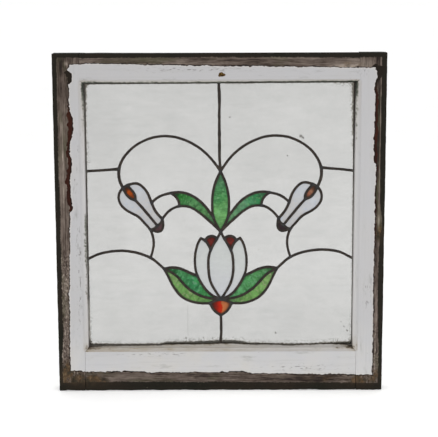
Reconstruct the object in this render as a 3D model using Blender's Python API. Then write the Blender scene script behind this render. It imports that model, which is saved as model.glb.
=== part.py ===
"""Leaded glass window sash, built as a joiner and a glazier would.

Metres, +Z up. The front faces -Y. The origin is in the middle of the sash's bottom
edge. A painted wooden sash of two stiles and two rails holds one leaded panel: a
lattice of soldered lead came with its glass pieces, bedded against the sash's tongue
and held by a fillet of putty in the rebate behind.
"""
import bpy
from math import atan2, ceil, pi, radians

import numpy as np
from mathutils import Vector
from mathutils.geometry import delaunay_2d_cdt

MM = 0.001

# Sash
SASH_WIDTH = 610 * MM
SASH_HEIGHT = 635 * MM
SASH_DEPTH = 35 * MM
STILE_FACE = 50 * MM          # flat face of each stile, outside the bevel
HEAD_FACE = 49 * MM
SILL_FACE = 76 * MM
BEVEL_WIDTH = 6 * MM          # sloped edge round the opening
BEVEL_DEPTH = 7 * MM
TONGUE_DEPTH = 22 * MM        # front face to the back of the tongue
REBATE_WIDTH = 8 * MM         # step behind the tongue that holds the panel
EDGE_WEAR = 1.5 * MM          # worn arris round the front
JOINT_GAP = 0.3 * MM

# Catch hole in the top rail
HOLE_WIDE = 11 * MM
HOLE_HIGH = 8.4 * MM
HOLE_DEEP = 9 * MM
HOLE_DROP = 39 * MM           # from the top of the sash to the middle of the hole
HOLE_SHIFT = 3.5 * MM         # to the right of the sash's centre line
HOLE_SIDES = 9
HOLE_JAG = 0.16               # how ragged its rim is, as a share of its radius
HOLE_RHYTHM = 2.3             # phase of the raggedness from one corner to the next
HOLE_TAPER = 0.8              # its width at the bottom, as a share of its mouth

# Leaded panel
CAME_FACE = 4.3 * MM          # width of the flange that shows
CAME_DEPTH = 5.5 * MM
FLANGE = 0.9 * MM
HEART = 1.5 * MM              # web between two panes
GLASS = 3 * MM
GLAZING_GAP = 0.35 * MM       # between glass and heart, all round
BORDER_OUT = 7 * MM           # border came, out past the edge of the opening
PANEL_GAP = 0.3 * MM          # between tongue, panel and putty
CENTRE_LEAN = -1.8 * MM       # top of the upper centre came, out of true
TURN_STEP = radians(15)       # bend of an outline taken by one facet
STRAIGHT = radians(20)        # two cames that meet straighter than this run on as one
FINE = 24                     # steps between two points of a drawn curve
PARALLEL = 0.2                # sine of the angle under which two lines count as parallel
TINY = 1e-18                  # keeps a division by parallel steps finite
MERGE = 1e-9                  # points of a face nearer than this are one

# Putty
PUTTY_LAP = 1 * MM            # how far its foot stays back from the opening
PUTTY_GAP = 0.3 * MM

OPENING_WIDTH = SASH_WIDTH - 2 * (STILE_FACE + BEVEL_WIDTH)
OPENING_BOTTOM = SILL_FACE + BEVEL_WIDTH
OPENING_TOP = SASH_HEIGHT - HEAD_FACE - BEVEL_WIDTH
OPENING_HEIGHT = OPENING_TOP - OPENING_BOTTOM
PANEL_MIDDLE = (OPENING_BOTTOM + OPENING_TOP) / 2
FRONT = -SASH_DEPTH / 2
PANEL_FRONT = FRONT + TONGUE_DEPTH + PANEL_GAP
PANEL_BACK = PANEL_FRONT + CAME_DEPTH
HALF_W = OPENING_WIDTH / 2
HALF_H = OPENING_HEIGHT / 2

# The pattern is drawn once, in millimetres, as distance out from the centre line
# and height over the middle of the opening. Both halves use it. Where cames meet:
CROSSING = (0, 84)            # arcs, centre came and leaf
WAIST = (0, -30.5)            # leaves above, tulip below
HUB = (0, -160)               # petals and lower leaves
SEED_FOOT = (0, -191)
ARC_SIDE = (188.5, 89)
BULB_TOP = (181.8, 53.7)
TEAR_SHOULDER = (172, 59)
TEAR_FOOT = (158.5, 29.8)
STEM_TOP = (127.8, 25.8)
STEM_LOW = (108.4, -4.8)
CAP_TOP = (118, -18.5)
BULB_FOOT = (131, -26)
LEAF_TOP = (92.5, 44.5)
LEAF_UNDER = (77, 19)
LEAF_ROOT = (13.6, -1.5)
JEWEL_ROOT = (7, -43.5)
NOTCH = (18.8, -65)
PETAL_SHOULDER = (29.5, -46.8)
PETAL_TIP = (36.5, -42.6)
PETAL_SIDE = (43.6, -114.5)
ARC_FOOT = (130.3, -79.3)
LEAF_TIP = (105.3, -100.2)
SEED_SIDE = (20.5, -168.6)
EDGE_SIDE = (HALF_W / MM, 84.2)
EDGE_LOW = (HALF_W / MM, -81.5)
CORNER_TOP = (HALF_W / MM, HALF_H / MM)
CORNER_LOW = (HALF_W / MM, -HALF_H / MM)
TOP_MIDDLE = (0, HALF_H / MM)
LOW_MIDDLE = (0, -HALF_H / MM)

# Each smooth run of came, and the junctions where it is split into named sides.
RUNS = {
    "arc": [CROSSING, (24, 116.5), (62, 143), (101.5, 151), (140, 142.4), (171.5, 119),
            ARC_SIDE, (187.5, 67), BULB_TOP],
    "bulb_back": [BULB_TOP, (187.4, 47), (190.4, 37), (187, 23), (172, 8.2), (153, -2),
                  (141.2, -14.2), BULB_FOOT, (124.6, -44), (124.8, -60), ARC_FOOT],
    "bulb_front": [BULB_TOP, TEAR_SHOULDER, (158, 62.6), (147, 58.8), (134.5, 43.4),
                   STEM_TOP, (119.4, 8), STEM_LOW],
    "tear_back": [BULB_TOP, (177.6, 43.6), (172, 35.5), (166, 31.3), TEAR_FOOT],
    "tear_front": [TEAR_SHOULDER, (164.5, 50), (159.6, 43), (157.3, 36), TEAR_FOOT],
    "bulb_vein": [TEAR_FOOT, (146, 16.3), CAP_TOP],
    "cap_rim": [STEM_LOW, (110.8, -11.5), CAP_TOP, (124, -23.6), BULB_FOOT],
    "cap_back": [STEM_LOW, (105.7, -14), (105.6, -22.5), (109.4, -29), (116, -31.6),
                 (123, -30), BULB_FOOT],
    "stem_upper": [STEM_TOP, (113, 37.4), LEAF_TOP, (76, 46.4), (57, 42), (38, 29),
                   (22.5, 9.5), LEAF_ROOT],
    "stem_lower": [STEM_LOW, (99.5, 6), (89.5, 14.2), LEAF_UNDER, (60, 18.2), (43.5, 9.6),
                   (14, -16), WAIST],
    "leaf_end": [LEAF_TOP, (83.6, 36), (78.6, 27.5), LEAF_UNDER],
    "middle_leaf": [CROSSING, (8.6, 68.4), (14.2, 50), (16.9, 32), (16.4, 16), LEAF_ROOT,
                    (7, -18), WAIST],
    "inner_petal": [WAIST, JEWEL_ROOT, NOTCH, (22.6, -82), (22.8, -104), (19.6, -125),
                    (11, -143.5), HUB],
    "jewel_top": [JEWEL_ROOT, (11.5, -39.6), (18, -38.4), (25, -41), PETAL_SHOULDER],
    "petal_tip": [PETAL_TIP, PETAL_SHOULDER, (24, -53.8), NOTCH],
    "outer_petal": [PETAL_TIP, (41.6, -48.5), (46, -60), (48.8, -79), (48, -98),
                    PETAL_SIDE, (30.4, -138), (17.5, -151.6), HUB],
    "low_leaf_top": [LEAF_TIP, (88, -98.2), (71, -101.8), (56.5, -108.6), PETAL_SIDE],
    "low_leaf_vein": [LEAF_TIP, (84.6, -114), (68, -133.6), (48.5, -148.8), (28, -156.8),
                      HUB],
    "low_leaf_edge": [LEAF_TIP, (98, -114), (90.6, -132), (78, -151.6), (61.5, -163.8),
                      (40, -169.4), SEED_SIDE],
    "seed_top": [HUB, (11, -162.6), SEED_SIDE],
    "seed_side": [SEED_SIDE, (14.6, -180), (7.4, -187.4), SEED_FOOT],
    "low_arc": [EDGE_LOW, (223.5, -69.7), (195, -65.4), (164, -68.2), ARC_FOOT,
                (117.4, -88.6), LEAF_TIP],
    "side_came": [ARC_SIDE, EDGE_SIDE],
    "edge_top": [TOP_MIDDLE, CORNER_TOP],
    "edge_upper": [CORNER_TOP, EDGE_SIDE],
    "edge_middle": [EDGE_SIDE, EDGE_LOW],
    "edge_lower": [EDGE_LOW, CORNER_LOW],
    "edge_bottom": [CORNER_LOW, LOW_MIDDLE],
    "low_came": [LOW_MIDDLE, SEED_FOOT],
    "centre_came": [TOP_MIDDLE, CROSSING],
}

# Glass: each piece's outline, as stretches of those runs between two junctions.
CLEAR, MILK, AMBER, BROWN, LEAF_GREEN, RUBY, SCARLET = range(7)
GLASS_FINISH = {
    CLEAR: ("clear_glass", (0.80, 0.82, 0.80), 1.0),
    MILK: ("milk_glass", (0.78, 0.80, 0.82), 0.0),
    AMBER: ("amber_glass", (0.55, 0.10, 0.01), 0.0),
    BROWN: ("brown_glass", (0.045, 0.018, 0.018), 0.0),
    LEAF_GREEN: ("green_glass", (0.08, 0.38, 0.10), 0.0),
    RUBY: ("ruby_glass", (0.22, 0.016, 0.010), 0.0),
    SCARLET: ("scarlet_glass", (0.62, 0.08, 0.02), 0.0),
}
SIDE_PIECES = {
    "pane_upper": (CLEAR, [
        ("centre_came", TOP_MIDDLE, CROSSING), ("arc", CROSSING, ARC_SIDE),
        ("side_came", ARC_SIDE, EDGE_SIDE), ("edge_upper", EDGE_SIDE, CORNER_TOP),
        ("edge_top", CORNER_TOP, TOP_MIDDLE)]),
    "pane_arc": (CLEAR, [
        ("arc", CROSSING, BULB_TOP), ("bulb_front", BULB_TOP, STEM_TOP),
        ("stem_upper", STEM_TOP, LEAF_ROOT), ("middle_leaf", LEAF_ROOT, CROSSING)]),
    "pane_side": (CLEAR, [
        ("side_came", EDGE_SIDE, ARC_SIDE), ("arc", ARC_SIDE, BULB_TOP),
        ("bulb_back", BULB_TOP, ARC_FOOT), ("low_arc", ARC_FOOT, EDGE_LOW),
        ("edge_middle", EDGE_LOW, EDGE_SIDE)]),
    "pane_lower": (CLEAR, [
        ("low_arc", EDGE_LOW, LEAF_TIP), ("low_leaf_edge", LEAF_TIP, SEED_SIDE),
        ("seed_side", SEED_SIDE, SEED_FOOT), ("low_came", SEED_FOOT, LOW_MIDDLE),
        ("edge_bottom", LOW_MIDDLE, CORNER_LOW), ("edge_lower", CORNER_LOW, EDGE_LOW)]),
    "pane_field": (CLEAR, [
        ("bulb_back", BULB_FOOT, ARC_FOOT), ("low_arc", ARC_FOOT, LEAF_TIP),
        ("low_leaf_top", LEAF_TIP, PETAL_SIDE), ("outer_petal", PETAL_SIDE, PETAL_TIP),
        ("petal_tip", PETAL_TIP, PETAL_SHOULDER),
        ("jewel_top", PETAL_SHOULDER, JEWEL_ROOT), ("inner_petal", JEWEL_ROOT, WAIST),
        ("stem_lower", WAIST, STEM_LOW), ("cap_back", STEM_LOW, BULB_FOOT)]),
    "pane_stem": (CLEAR, [
        ("bulb_front", STEM_LOW, STEM_TOP), ("stem_upper", STEM_TOP, LEAF_TOP),
        ("leaf_end", LEAF_TOP, LEAF_UNDER), ("stem_lower", LEAF_UNDER, STEM_LOW)]),
    "bulb_outer_petal": (MILK, [
        ("tear_back", BULB_TOP, TEAR_FOOT), ("bulb_vein", TEAR_FOOT, CAP_TOP),
        ("cap_rim", CAP_TOP, BULB_FOOT), ("bulb_back", BULB_FOOT, BULB_TOP)]),
    "bulb_inner_petal": (MILK, [
        ("bulb_front", TEAR_SHOULDER, STEM_LOW), ("cap_rim", STEM_LOW, CAP_TOP),
        ("bulb_vein", CAP_TOP, TEAR_FOOT), ("tear_front", TEAR_FOOT, TEAR_SHOULDER)]),
    "bulb_tear": (AMBER, [
        ("bulb_front", BULB_TOP, TEAR_SHOULDER), ("tear_front", TEAR_SHOULDER, TEAR_FOOT),
        ("tear_back", TEAR_FOOT, BULB_TOP)]),
    "bulb_cap": (BROWN, [
        ("cap_rim", STEM_LOW, BULB_FOOT), ("cap_back", BULB_FOOT, STEM_LOW)]),
    "side_leaf": (LEAF_GREEN, [
        ("stem_upper", LEAF_TOP, LEAF_ROOT), ("middle_leaf", LEAF_ROOT, WAIST),
        ("stem_lower", WAIST, LEAF_UNDER), ("leaf_end", LEAF_UNDER, LEAF_TOP)]),
    "tulip_jewel": (RUBY, [
        ("jewel_top", JEWEL_ROOT, PETAL_SHOULDER), ("petal_tip", PETAL_SHOULDER, NOTCH),
        ("inner_petal", NOTCH, JEWEL_ROOT)]),
    "tulip_side_petal": (MILK, [
        ("petal_tip", NOTCH, PETAL_TIP), ("outer_petal", PETAL_TIP, HUB),
        ("inner_petal", HUB, NOTCH)]),
    "low_leaf_upper": (LEAF_GREEN, [
        ("low_leaf_top", LEAF_TIP, PETAL_SIDE), ("outer_petal", PETAL_SIDE, HUB),
        ("low_leaf_vein", HUB, LEAF_TIP)]),
    "low_leaf_under": (LEAF_GREEN, [
        ("low_leaf_vein", LEAF_TIP, HUB), ("seed_top", HUB, SEED_SIDE),
        ("low_leaf_edge", SEED_SIDE, LEAF_TIP)]),
}
# Pieces that lie across the centre line: the side drawn above, and its mirror image.
CENTRE_PIECES = {
    "middle_leaf": (LEAF_GREEN, [("middle_leaf", CROSSING, WAIST)]),
    "tulip_middle_petal": (MILK, [("inner_petal", WAIST, HUB)]),
    "seed": (SCARLET, [("seed_top", HUB, SEED_SIDE), ("seed_side", SEED_SIDE, SEED_FOOT)]),
}


# ---------------------------------------------------------------- curves

def spline(points):
    """Natural cubic spline through the points, FINE steps to each span."""
    pts = np.array(points, float)
    if len(pts) == 2:
        return pts
    steps = np.sqrt(np.linalg.norm(np.diff(pts, axis=0), axis=1))
    knots = np.concatenate([[0], np.cumsum(steps)])
    size = len(pts)
    matrix, rhs = np.zeros((size, size)), np.zeros((size, 2))
    matrix[0, 0] = matrix[-1, -1] = 1
    for i in range(1, size - 1):
        before, after = knots[i] - knots[i - 1], knots[i + 1] - knots[i]
        matrix[i, i - 1:i + 2] = before, 2 * (before + after), after
        slope_after = (pts[i + 1] - pts[i]) / after
        slope_before = (pts[i] - pts[i - 1]) / before
        rhs[i] = 6 * (slope_after - slope_before)
    bend = np.linalg.solve(matrix, rhs)
    line = [pts[:1]]
    for i in range(size - 1):
        span = knots[i + 1] - knots[i]
        t = np.arange(1, FINE + 1)[:, None] / FINE
        s = 1 - t
        curve = s * pts[i] + t * pts[i + 1]
        curve += span ** 2 / 6 * ((s ** 3 - s) * bend[i] + (t ** 3 - t) * bend[i + 1])
        line.append(curve)
    return np.concatenate(line)


def stretch(run, start, end):
    """The part of a run between two of its own points, in the order asked for."""
    points = RUNS[run]
    first, last = points.index(start), points.index(end)
    line = spline(points)
    step = 1 if len(points) == 2 else FINE
    part = line[min(first, last) * step:max(first, last) * step + 1]
    return part if first < last else part[::-1]


def place(line, side):
    """Drawn millimetres to metres, out to the left (-1) or to the right (+1)."""
    lean = np.clip((line[:, 1] - CROSSING[1]) / (TOP_MIDDLE[1] - CROSSING[1]), 0, 1)
    lean = lean * (np.abs(line[:, 0]) < 1)
    x = side * line[:, 0] * MM + lean * CENTRE_LEAN
    return np.stack([x, line[:, 1] * MM], axis=1)


def heading(line, at_end):
    step = line[-1] - line[-2] if at_end else line[1] - line[0]
    return atan2(step[1], step[0])


def turn_between(before, after):
    """Signed turn from the end of one line to the start of the next."""
    return (heading(after, False) - heading(before, True) + pi) % (2 * pi) - pi


def outline(sides):
    """Orders the sides of one glass piece anticlockwise; straight meetings merge."""
    loop = np.concatenate([side[:-1] for side in sides])
    x, y = loop[:, 0], loop[:, 1]
    if np.sum(x * np.roll(y, -1) - y * np.roll(x, -1)) < 0:
        sides = [side[::-1] for side in sides[::-1]]
    count = len(sides)
    breaks = [i for i in range(count)
              if abs(turn_between(sides[i - 1], sides[i])) > STRAIGHT]
    merged = []
    for number, start in enumerate(breaks):
        stop = breaks[(number + 1) % len(breaks)]
        length = (stop - start - 1) % count + 1
        parts = [sides[(start + k) % count] for k in range(length)]
        merged.append(np.concatenate([parts[0]] + [part[1:] for part in parts[1:]]))
    return merged


def total_turn(line):
    steps = np.diff(line, axis=0)
    angles = np.unwrap(np.arctan2(steps[:, 1], steps[:, 0]))
    return float(np.sum(np.abs(np.diff(angles))))


def shifted(line, distance):
    """The line moved to its left by a distance."""
    steps = np.diff(line, axis=0)
    steps /= np.linalg.norm(steps, axis=1)[:, None]
    normal = np.stack([-steps[:, 1], steps[:, 0]], axis=1)
    padded = np.concatenate([normal[:1], normal, normal[-1:]])
    mean = padded[:-1] + padded[1:]
    mean /= np.linalg.norm(mean, axis=1)[:, None]
    return line + distance * mean


def crossing(first, second):
    """Where the end of one line first meets the start of the next.

    Gives the two segment numbers and the point, or the tips' mitre if they only
    meet beyond their ends.
    """
    best = None
    for i in range(len(first) - 2, -1, -1):
        p, r = first[i], first[i + 1] - first[i]
        q, s = second[:-1], np.diff(second, axis=0)
        cross = r[0] * s[:, 1] - r[1] * s[:, 0]
        cross = np.where(np.abs(cross) < TINY, TINY, cross)
        gap = q - p
        t = (gap[:, 0] * s[:, 1] - gap[:, 1] * s[:, 0]) / cross
        u = (gap[:, 0] * r[1] - gap[:, 1] * r[0]) / cross
        hits = np.where((t >= 0) & (t <= 1) & (u >= 0) & (u <= 1))[0]
        if len(hits):
            rank = (len(first) - 2 - i) + hits[0]
            if best is None or rank < best[0]:
                best = (rank, i, hits[0], p + t[hits[0]] * r)
    if best:
        return best[1:]
    p, r = first[-1], first[-1] - first[-2]
    q, s = second[0], second[0] - second[1]
    cross = r[0] * s[1] - r[1] * s[0]
    if abs(cross) < PARALLEL * np.linalg.norm(r) * np.linalg.norm(s):
        return len(first) - 1, 0, (p + q) / 2
    t = ((q - p)[0] * s[1] - (q - p)[1] * s[0]) / cross
    return len(first) - 1, 0, p + t * r


def resampled(line, count):
    """Evenly spaced points along a line, without its last one."""
    reach = np.concatenate([[0], np.cumsum(np.linalg.norm(np.diff(line, axis=0), axis=1))])
    at = np.linspace(0, reach[-1], count + 1)[:-1]
    return np.stack([np.interp(at, reach, line[:, k]) for k in (0, 1)], axis=1)


def inset_loop(sides, counts, distance):
    """The outline moved inwards, with the same number of points at every distance."""
    moved = [shifted(side, distance) for side in sides]
    joints = [crossing(moved[i - 1], moved[i]) for i in range(len(moved))]
    loop = []
    for i, line in enumerate(moved):
        start = joints[i]
        stop = joints[(i + 1) % len(moved)]
        body = line[start[1] + 1:stop[0] + 1]
        whole = np.concatenate([start[2][None], body, stop[2][None]])
        loop.append(resampled(whole, counts[i]))
    return np.concatenate(loop)


# ---------------------------------------------------------------- meshes

def material(name, colour, roughness, metallic=0.0, transmission=0.0):
    made = bpy.data.materials.new(name)
    made.use_nodes = True
    shader = made.node_tree.nodes["Principled BSDF"]
    shader.inputs["Base Color"].default_value = (*colour, 1)
    shader.inputs["Roughness"].default_value = roughness
    shader.inputs["Metallic"].default_value = metallic
    shader.inputs["Transmission Weight"].default_value = transmission
    return made


def solid(name, points, faces, finish):
    mesh = bpy.data.meshes.new(name)
    mesh.from_pydata([tuple(map(float, point)) for point in points], [], faces)
    mesh.validate()
    mesh.update()
    made = bpy.data.objects.new(name, mesh)
    bpy.context.scene.collection.objects.link(made)
    if finish:
        made.data.materials.append(finish)
    return made


def inside(point, loop):
    x, y = loop[:, 0], loop[:, 1]
    nx, ny = np.roll(x, -1), np.roll(y, -1)
    spans = (y > point[1]) != (ny > point[1])
    rise = np.where(ny == y, 1, ny - y)
    return np.count_nonzero(spans & (point[0] < (nx - x) * (point[1] - y) / rise + x)) % 2


def filled(outer, holes=()):
    """Triangles that fill a loop around its holes, over the loops' points in order."""
    loops = [outer, *holes]
    points, edges = [], []
    for loop in loops:
        first = len(points)
        points += [Vector(point) for point in loop.tolist()]
        edges += [(first + i, first + (i + 1) % len(loop)) for i in range(len(loop))]
    flat, _, triangles, origins, _, _ = delaunay_2d_cdt(points, edges, [], 1, MERGE)
    kept = []
    for triangle in triangles:
        middle = sum((flat[i] for i in triangle), Vector((0, 0))) / 3
        if inside(middle, outer) and not any(inside(middle, hole) for hole in holes):
            kept.append(tuple(origins[i][0] for i in triangle))
    return kept


def at_depth(loop, y):
    """Panel coordinates to the part's, at one depth."""
    return [(x, y, PANEL_MIDDLE + z) for x, z in loop]


def ring(first, second, count):
    """Quads between two loops of as many points."""
    return [(first + i, first + (i + 1) % count, second + (i + 1) % count, second + i)
            for i in range(count)]


def glass_piece(name, loop, finish):
    count = len(loop)
    middle = (PANEL_FRONT + PANEL_BACK) / 2
    points = at_depth(loop, middle - GLASS / 2) + at_depth(loop, middle + GLASS / 2)
    front = filled(loop)
    faces = front + [tuple(count + i for i in reversed(face)) for face in front]
    faces += [quad[::-1] for quad in ring(0, count, count)]
    return solid(name, points, faces, finish)


def rectangle(out):
    """Corners of the opening, moved outwards."""
    x, z = HALF_W + out, HALF_H + out
    return [(-x, -z), (x, -z), (x, z), (-x, z)]


def lead_lattice(name, pieces, finish):
    """One soldered lattice: front and back flanges, a heart between each two panes."""
    rim = np.array(rectangle(BORDER_OUT))
    flanges = [inset_loop(*piece, CAME_FACE / 2) for piece in pieces]
    hearts = [inset_loop(*piece, HEART / 2) for piece in pieces]
    inner_front, inner_back = PANEL_FRONT + FLANGE, PANEL_BACK - FLANGE
    levels = [(PANEL_FRONT, flanges), (inner_front, flanges), (inner_front, hearts),
              (inner_back, hearts), (inner_back, flanges), (PANEL_BACK, flanges)]
    corners = len(rim)
    points = at_depth(rim, PANEL_FRONT) + at_depth(rim, PANEL_BACK)
    starts = []
    for y, loops in levels:
        starts.append([])
        for loop in loops:
            starts[-1].append(len(points))
            points += at_depth(loop, y)

    def on_face(face, rim_start, level):
        return [rim_start + i if i < corners else starts[level][0] + i - corners
                for i in face]

    sheet = filled(rim, flanges)
    faces = [on_face(face, 0, 0) for face in sheet]
    faces += [on_face(face, corners, -1)[::-1] for face in sheet]
    faces += [quad[::-1] for quad in ring(0, corners, corners)]
    for near, far in zip(starts, starts[1:]):
        for first, second, loop in zip(near, far, flanges):
            faces += ring(first, second, len(loop))
    return solid(name, points, faces, finish)


def prism(name, section, near, far, finish=None):
    """A section's points joined between two placings, each a function of a point."""
    count = len(section)
    points = [near(point) for point in section] + [far(point) for point in section]
    faces = [tuple(range(count)), tuple(reversed(range(count, 2 * count)))]
    faces += [quad[::-1] for quad in ring(0, count, count)]
    made = solid(name, points, faces, finish)
    outward(made)
    return made


def outward(made):
    """Turns the faces of a closed mesh to point out."""
    mesh = made.data
    mesh.calc_loop_triangles()
    volume = 0
    for triangle in mesh.loop_triangles:
        a, b, c = (mesh.vertices[i].co for i in triangle.vertices)
        volume += a.dot(b.cross(c))
    if volume < 0:
        mesh.flip_normals()


def tool(made):
    made.hide_render = True
    made.display_type = "WIRE"
    return made


def combine(target, other, operation):
    cut = target.modifiers.new(operation.title(), "BOOLEAN")
    cut.operation = operation
    cut.solver = "EXACT"
    cut.object = tool(other)


# ---------------------------------------------------------------- sash

def sash_member(name, face, length, rebate_at, trim, finish):
    """A stile or rail in its own frame: length along U, inwards along V.

    The plain bar carries a tongue along the opening, mitred at both ends and bevelled
    in front, with a rebate cut behind it. Trim shortens the tongue at its mitres.
    """
    start, end, open_start, open_end = length
    worn = EDGE_WEAR
    bar = [(0, FRONT + worn), (worn, FRONT), (face, FRONT), (face, -FRONT), (0, -FRONT)]
    overlap = 1 * MM
    tongue = [(face - overlap, FRONT), (face, FRONT),
              (face + BEVEL_WIDTH, FRONT + BEVEL_DEPTH), (face + BEVEL_WIDTH, -FRONT),
              (face - overlap, -FRONT)]

    def put(along):
        return lambda point: (along, point[0], point[1])

    def mitred(along, sign):
        return lambda point: (along + sign * (max(point[0], face) - face - BEVEL_WIDTH + trim),
                              point[0], point[1])

    body = prism(name, bar, put(start), put(end), finish)
    lip = prism(name + "_lip", tongue, mitred(open_start, 1), mitred(open_end, -1))
    back = FRONT + TONGUE_DEPTH
    low, high = face + BEVEL_WIDTH - REBATE_WIDTH, face + 2 * BEVEL_WIDTH
    step = [(low, back), (high, back), (high, SASH_DEPTH), (low, SASH_DEPTH)]
    groove = prism(name + "_rebate", step, put(rebate_at[0]), put(rebate_at[1]))
    combine(body, lip, "UNION")
    combine(body, groove, "DIFFERENCE")
    return body, lip, groove


def seat(objects, remap):
    """Moves a member's parts from its own frame into the sash."""
    for made in objects:
        for vertex in made.data.vertices:
            vertex.co = Vector(remap(*vertex.co))
        outward(made)


def build_sash(wood):
    half = SASH_WIDTH / 2
    low, high = OPENING_BOTTOM, OPENING_TOP
    reach = (low - REBATE_WIDTH, high + REBATE_WIDTH)
    across = half - STILE_FACE - JOINT_GAP
    past = 2 * across
    for side, label in ((-1, "left"), (1, "right")):
        parts = sash_member(f"stile_{label}", STILE_FACE, (0, SASH_HEIGHT, low, high),
                            reach, JOINT_GAP / 2, wood)
        seat(parts, lambda u, v, y, s=side: (s * (half - v), y, u))
    rail = (-across, across, -HALF_W, HALF_W)
    sill = sash_member("rail_bottom", SILL_FACE, rail, (-past, past), JOINT_GAP, wood)
    seat(sill, lambda u, v, y: (u, y, v))
    head = sash_member("rail_top", HEAD_FACE, rail, (-past, past), JOINT_GAP, wood)
    seat(head, lambda u, v, y: (u, y, SASH_HEIGHT - v))
    combine(head[0], catch_hole(), "DIFFERENCE")


def catch_hole():
    """A blind, ragged hole left by an old catch."""
    section = []
    for i in range(HOLE_SIDES):
        angle = 2 * pi * i / HOLE_SIDES
        radius = (1 + HOLE_JAG * np.cos(HOLE_RHYTHM * i)) / 2
        section.append((radius * HOLE_WIDE * np.cos(angle),
                        radius * HOLE_HIGH * np.sin(angle)))
    middle = SASH_HEIGHT - HOLE_DROP

    def at(depth, scale):
        return lambda p: (HOLE_SHIFT + p[0] * scale, FRONT + depth, middle + p[1] * scale)

    return prism("catch_hole", section, at(-HOLE_DEEP, 2 - HOLE_TAPER), at(HOLE_DEEP, HOLE_TAPER))


def build_putty(finish):
    """Four fillets behind the panel, mitred, from near the opening to the back face."""
    wall = REBATE_WIDTH - PUTTY_GAP
    foot = PANEL_BACK + PANEL_GAP
    section = [(PUTTY_LAP, foot), (wall, foot), (wall, -FRONT), (wall - PUTTY_LAP, -FRONT)]
    for number, label in enumerate(("bottom", "right", "top", "left")):
        ends = (number, (number + 1) % 4)
        first, second = (Vector(rectangle(0)[end]) for end in ends)
        trim = (second - first).normalized() * PUTTY_GAP / 2

        def mitred(end, shift):
            return lambda point: at_depth([Vector(rectangle(point[0])[end]) + shift],
                                          point[1])[0]

        prism(f"putty_{label}", section, mitred(ends[0], trim), mitred(ends[1], -trim),
              finish)


# ---------------------------------------------------------------- panel

def piece_sides(stretches, sides):
    """Placed sides of a piece; one drawn on both sides closes over the centre line."""
    placed = [place(stretch(*item), sides[0]) for item in stretches]
    if len(sides) == 2:
        mirrored = [place(stretch(*item), sides[1])[::-1] for item in stretches]
        placed += mirrored[::-1]
    return outline(placed)


def build_panel():
    lead = material("lead_came", (0.045, 0.040, 0.034), 0.6, metallic=0.6)
    finishes = {key: material(name, colour, 0.15, transmission=clear)
                for key, (name, colour, clear) in GLASS_FINISH.items()}
    jobs = []
    for base, (kind, stretches) in SIDE_PIECES.items():
        jobs += [(f"{base}_left", kind, stretches, (-1,)),
                 (f"{base}_right", kind, stretches, (1,))]
    jobs += [(name, kind, stretches, (-1, 1))
             for name, (kind, stretches) in CENTRE_PIECES.items()]
    pieces = []
    for name, kind, stretches, sides in jobs:
        lines = piece_sides(stretches, sides)
        counts = [max(1, ceil(total_turn(line) / TURN_STEP)) for line in lines]
        pieces.append((lines, counts))
        loop = inset_loop(lines, counts, HEART / 2 + GLAZING_GAP)
        glass_piece(name, loop, finishes[kind])
    lead_lattice("lead_lattice", pieces, lead)


def main():
    for old in list(bpy.data.objects):
        bpy.data.objects.remove(old, do_unlink=True)
    build_sash(material("painted_wood", (0.52, 0.53, 0.54), 0.6))
    build_putty(material("putty", (0.10, 0.11, 0.08), 0.8))
    build_panel()


main()
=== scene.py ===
"""Looks of an old leaded window sash: worn white paint, bare wood, lead came and glass.

Metres, +Z up, front towards -Y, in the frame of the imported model. Every visible piece
stands for one CAD node: the four members of the sash, the soldered lead lattice, the
panes and the putty behind them.
"""
from math import atan2, ceil, pi, radians

import bmesh
import bpy
import numpy as np
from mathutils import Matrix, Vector
from mathutils.geometry import delaunay_2d_cdt


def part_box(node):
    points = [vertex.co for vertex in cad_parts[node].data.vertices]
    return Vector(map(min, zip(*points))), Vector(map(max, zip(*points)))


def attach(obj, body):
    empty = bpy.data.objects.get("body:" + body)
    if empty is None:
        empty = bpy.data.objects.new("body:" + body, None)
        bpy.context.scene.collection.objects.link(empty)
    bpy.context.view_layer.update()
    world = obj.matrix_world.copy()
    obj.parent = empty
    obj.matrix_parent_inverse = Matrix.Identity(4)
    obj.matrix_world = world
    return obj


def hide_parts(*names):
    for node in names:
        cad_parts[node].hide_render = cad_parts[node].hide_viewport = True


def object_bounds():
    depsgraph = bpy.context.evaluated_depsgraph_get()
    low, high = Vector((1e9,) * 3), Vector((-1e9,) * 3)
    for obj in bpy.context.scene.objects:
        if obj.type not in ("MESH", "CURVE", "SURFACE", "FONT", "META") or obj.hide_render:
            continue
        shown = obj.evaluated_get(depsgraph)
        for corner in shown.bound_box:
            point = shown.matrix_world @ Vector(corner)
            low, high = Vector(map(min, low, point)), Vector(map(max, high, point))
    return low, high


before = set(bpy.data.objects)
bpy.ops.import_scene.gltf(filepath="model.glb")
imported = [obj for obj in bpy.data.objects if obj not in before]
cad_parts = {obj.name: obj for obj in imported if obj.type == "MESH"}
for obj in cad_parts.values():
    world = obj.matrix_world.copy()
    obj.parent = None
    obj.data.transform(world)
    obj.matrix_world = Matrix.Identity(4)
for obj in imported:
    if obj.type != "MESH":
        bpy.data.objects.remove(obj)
CAD_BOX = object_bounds()

MM = 0.001
COARSE = 1.0

# ---------------------------------------------------------------- places in the frame

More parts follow.
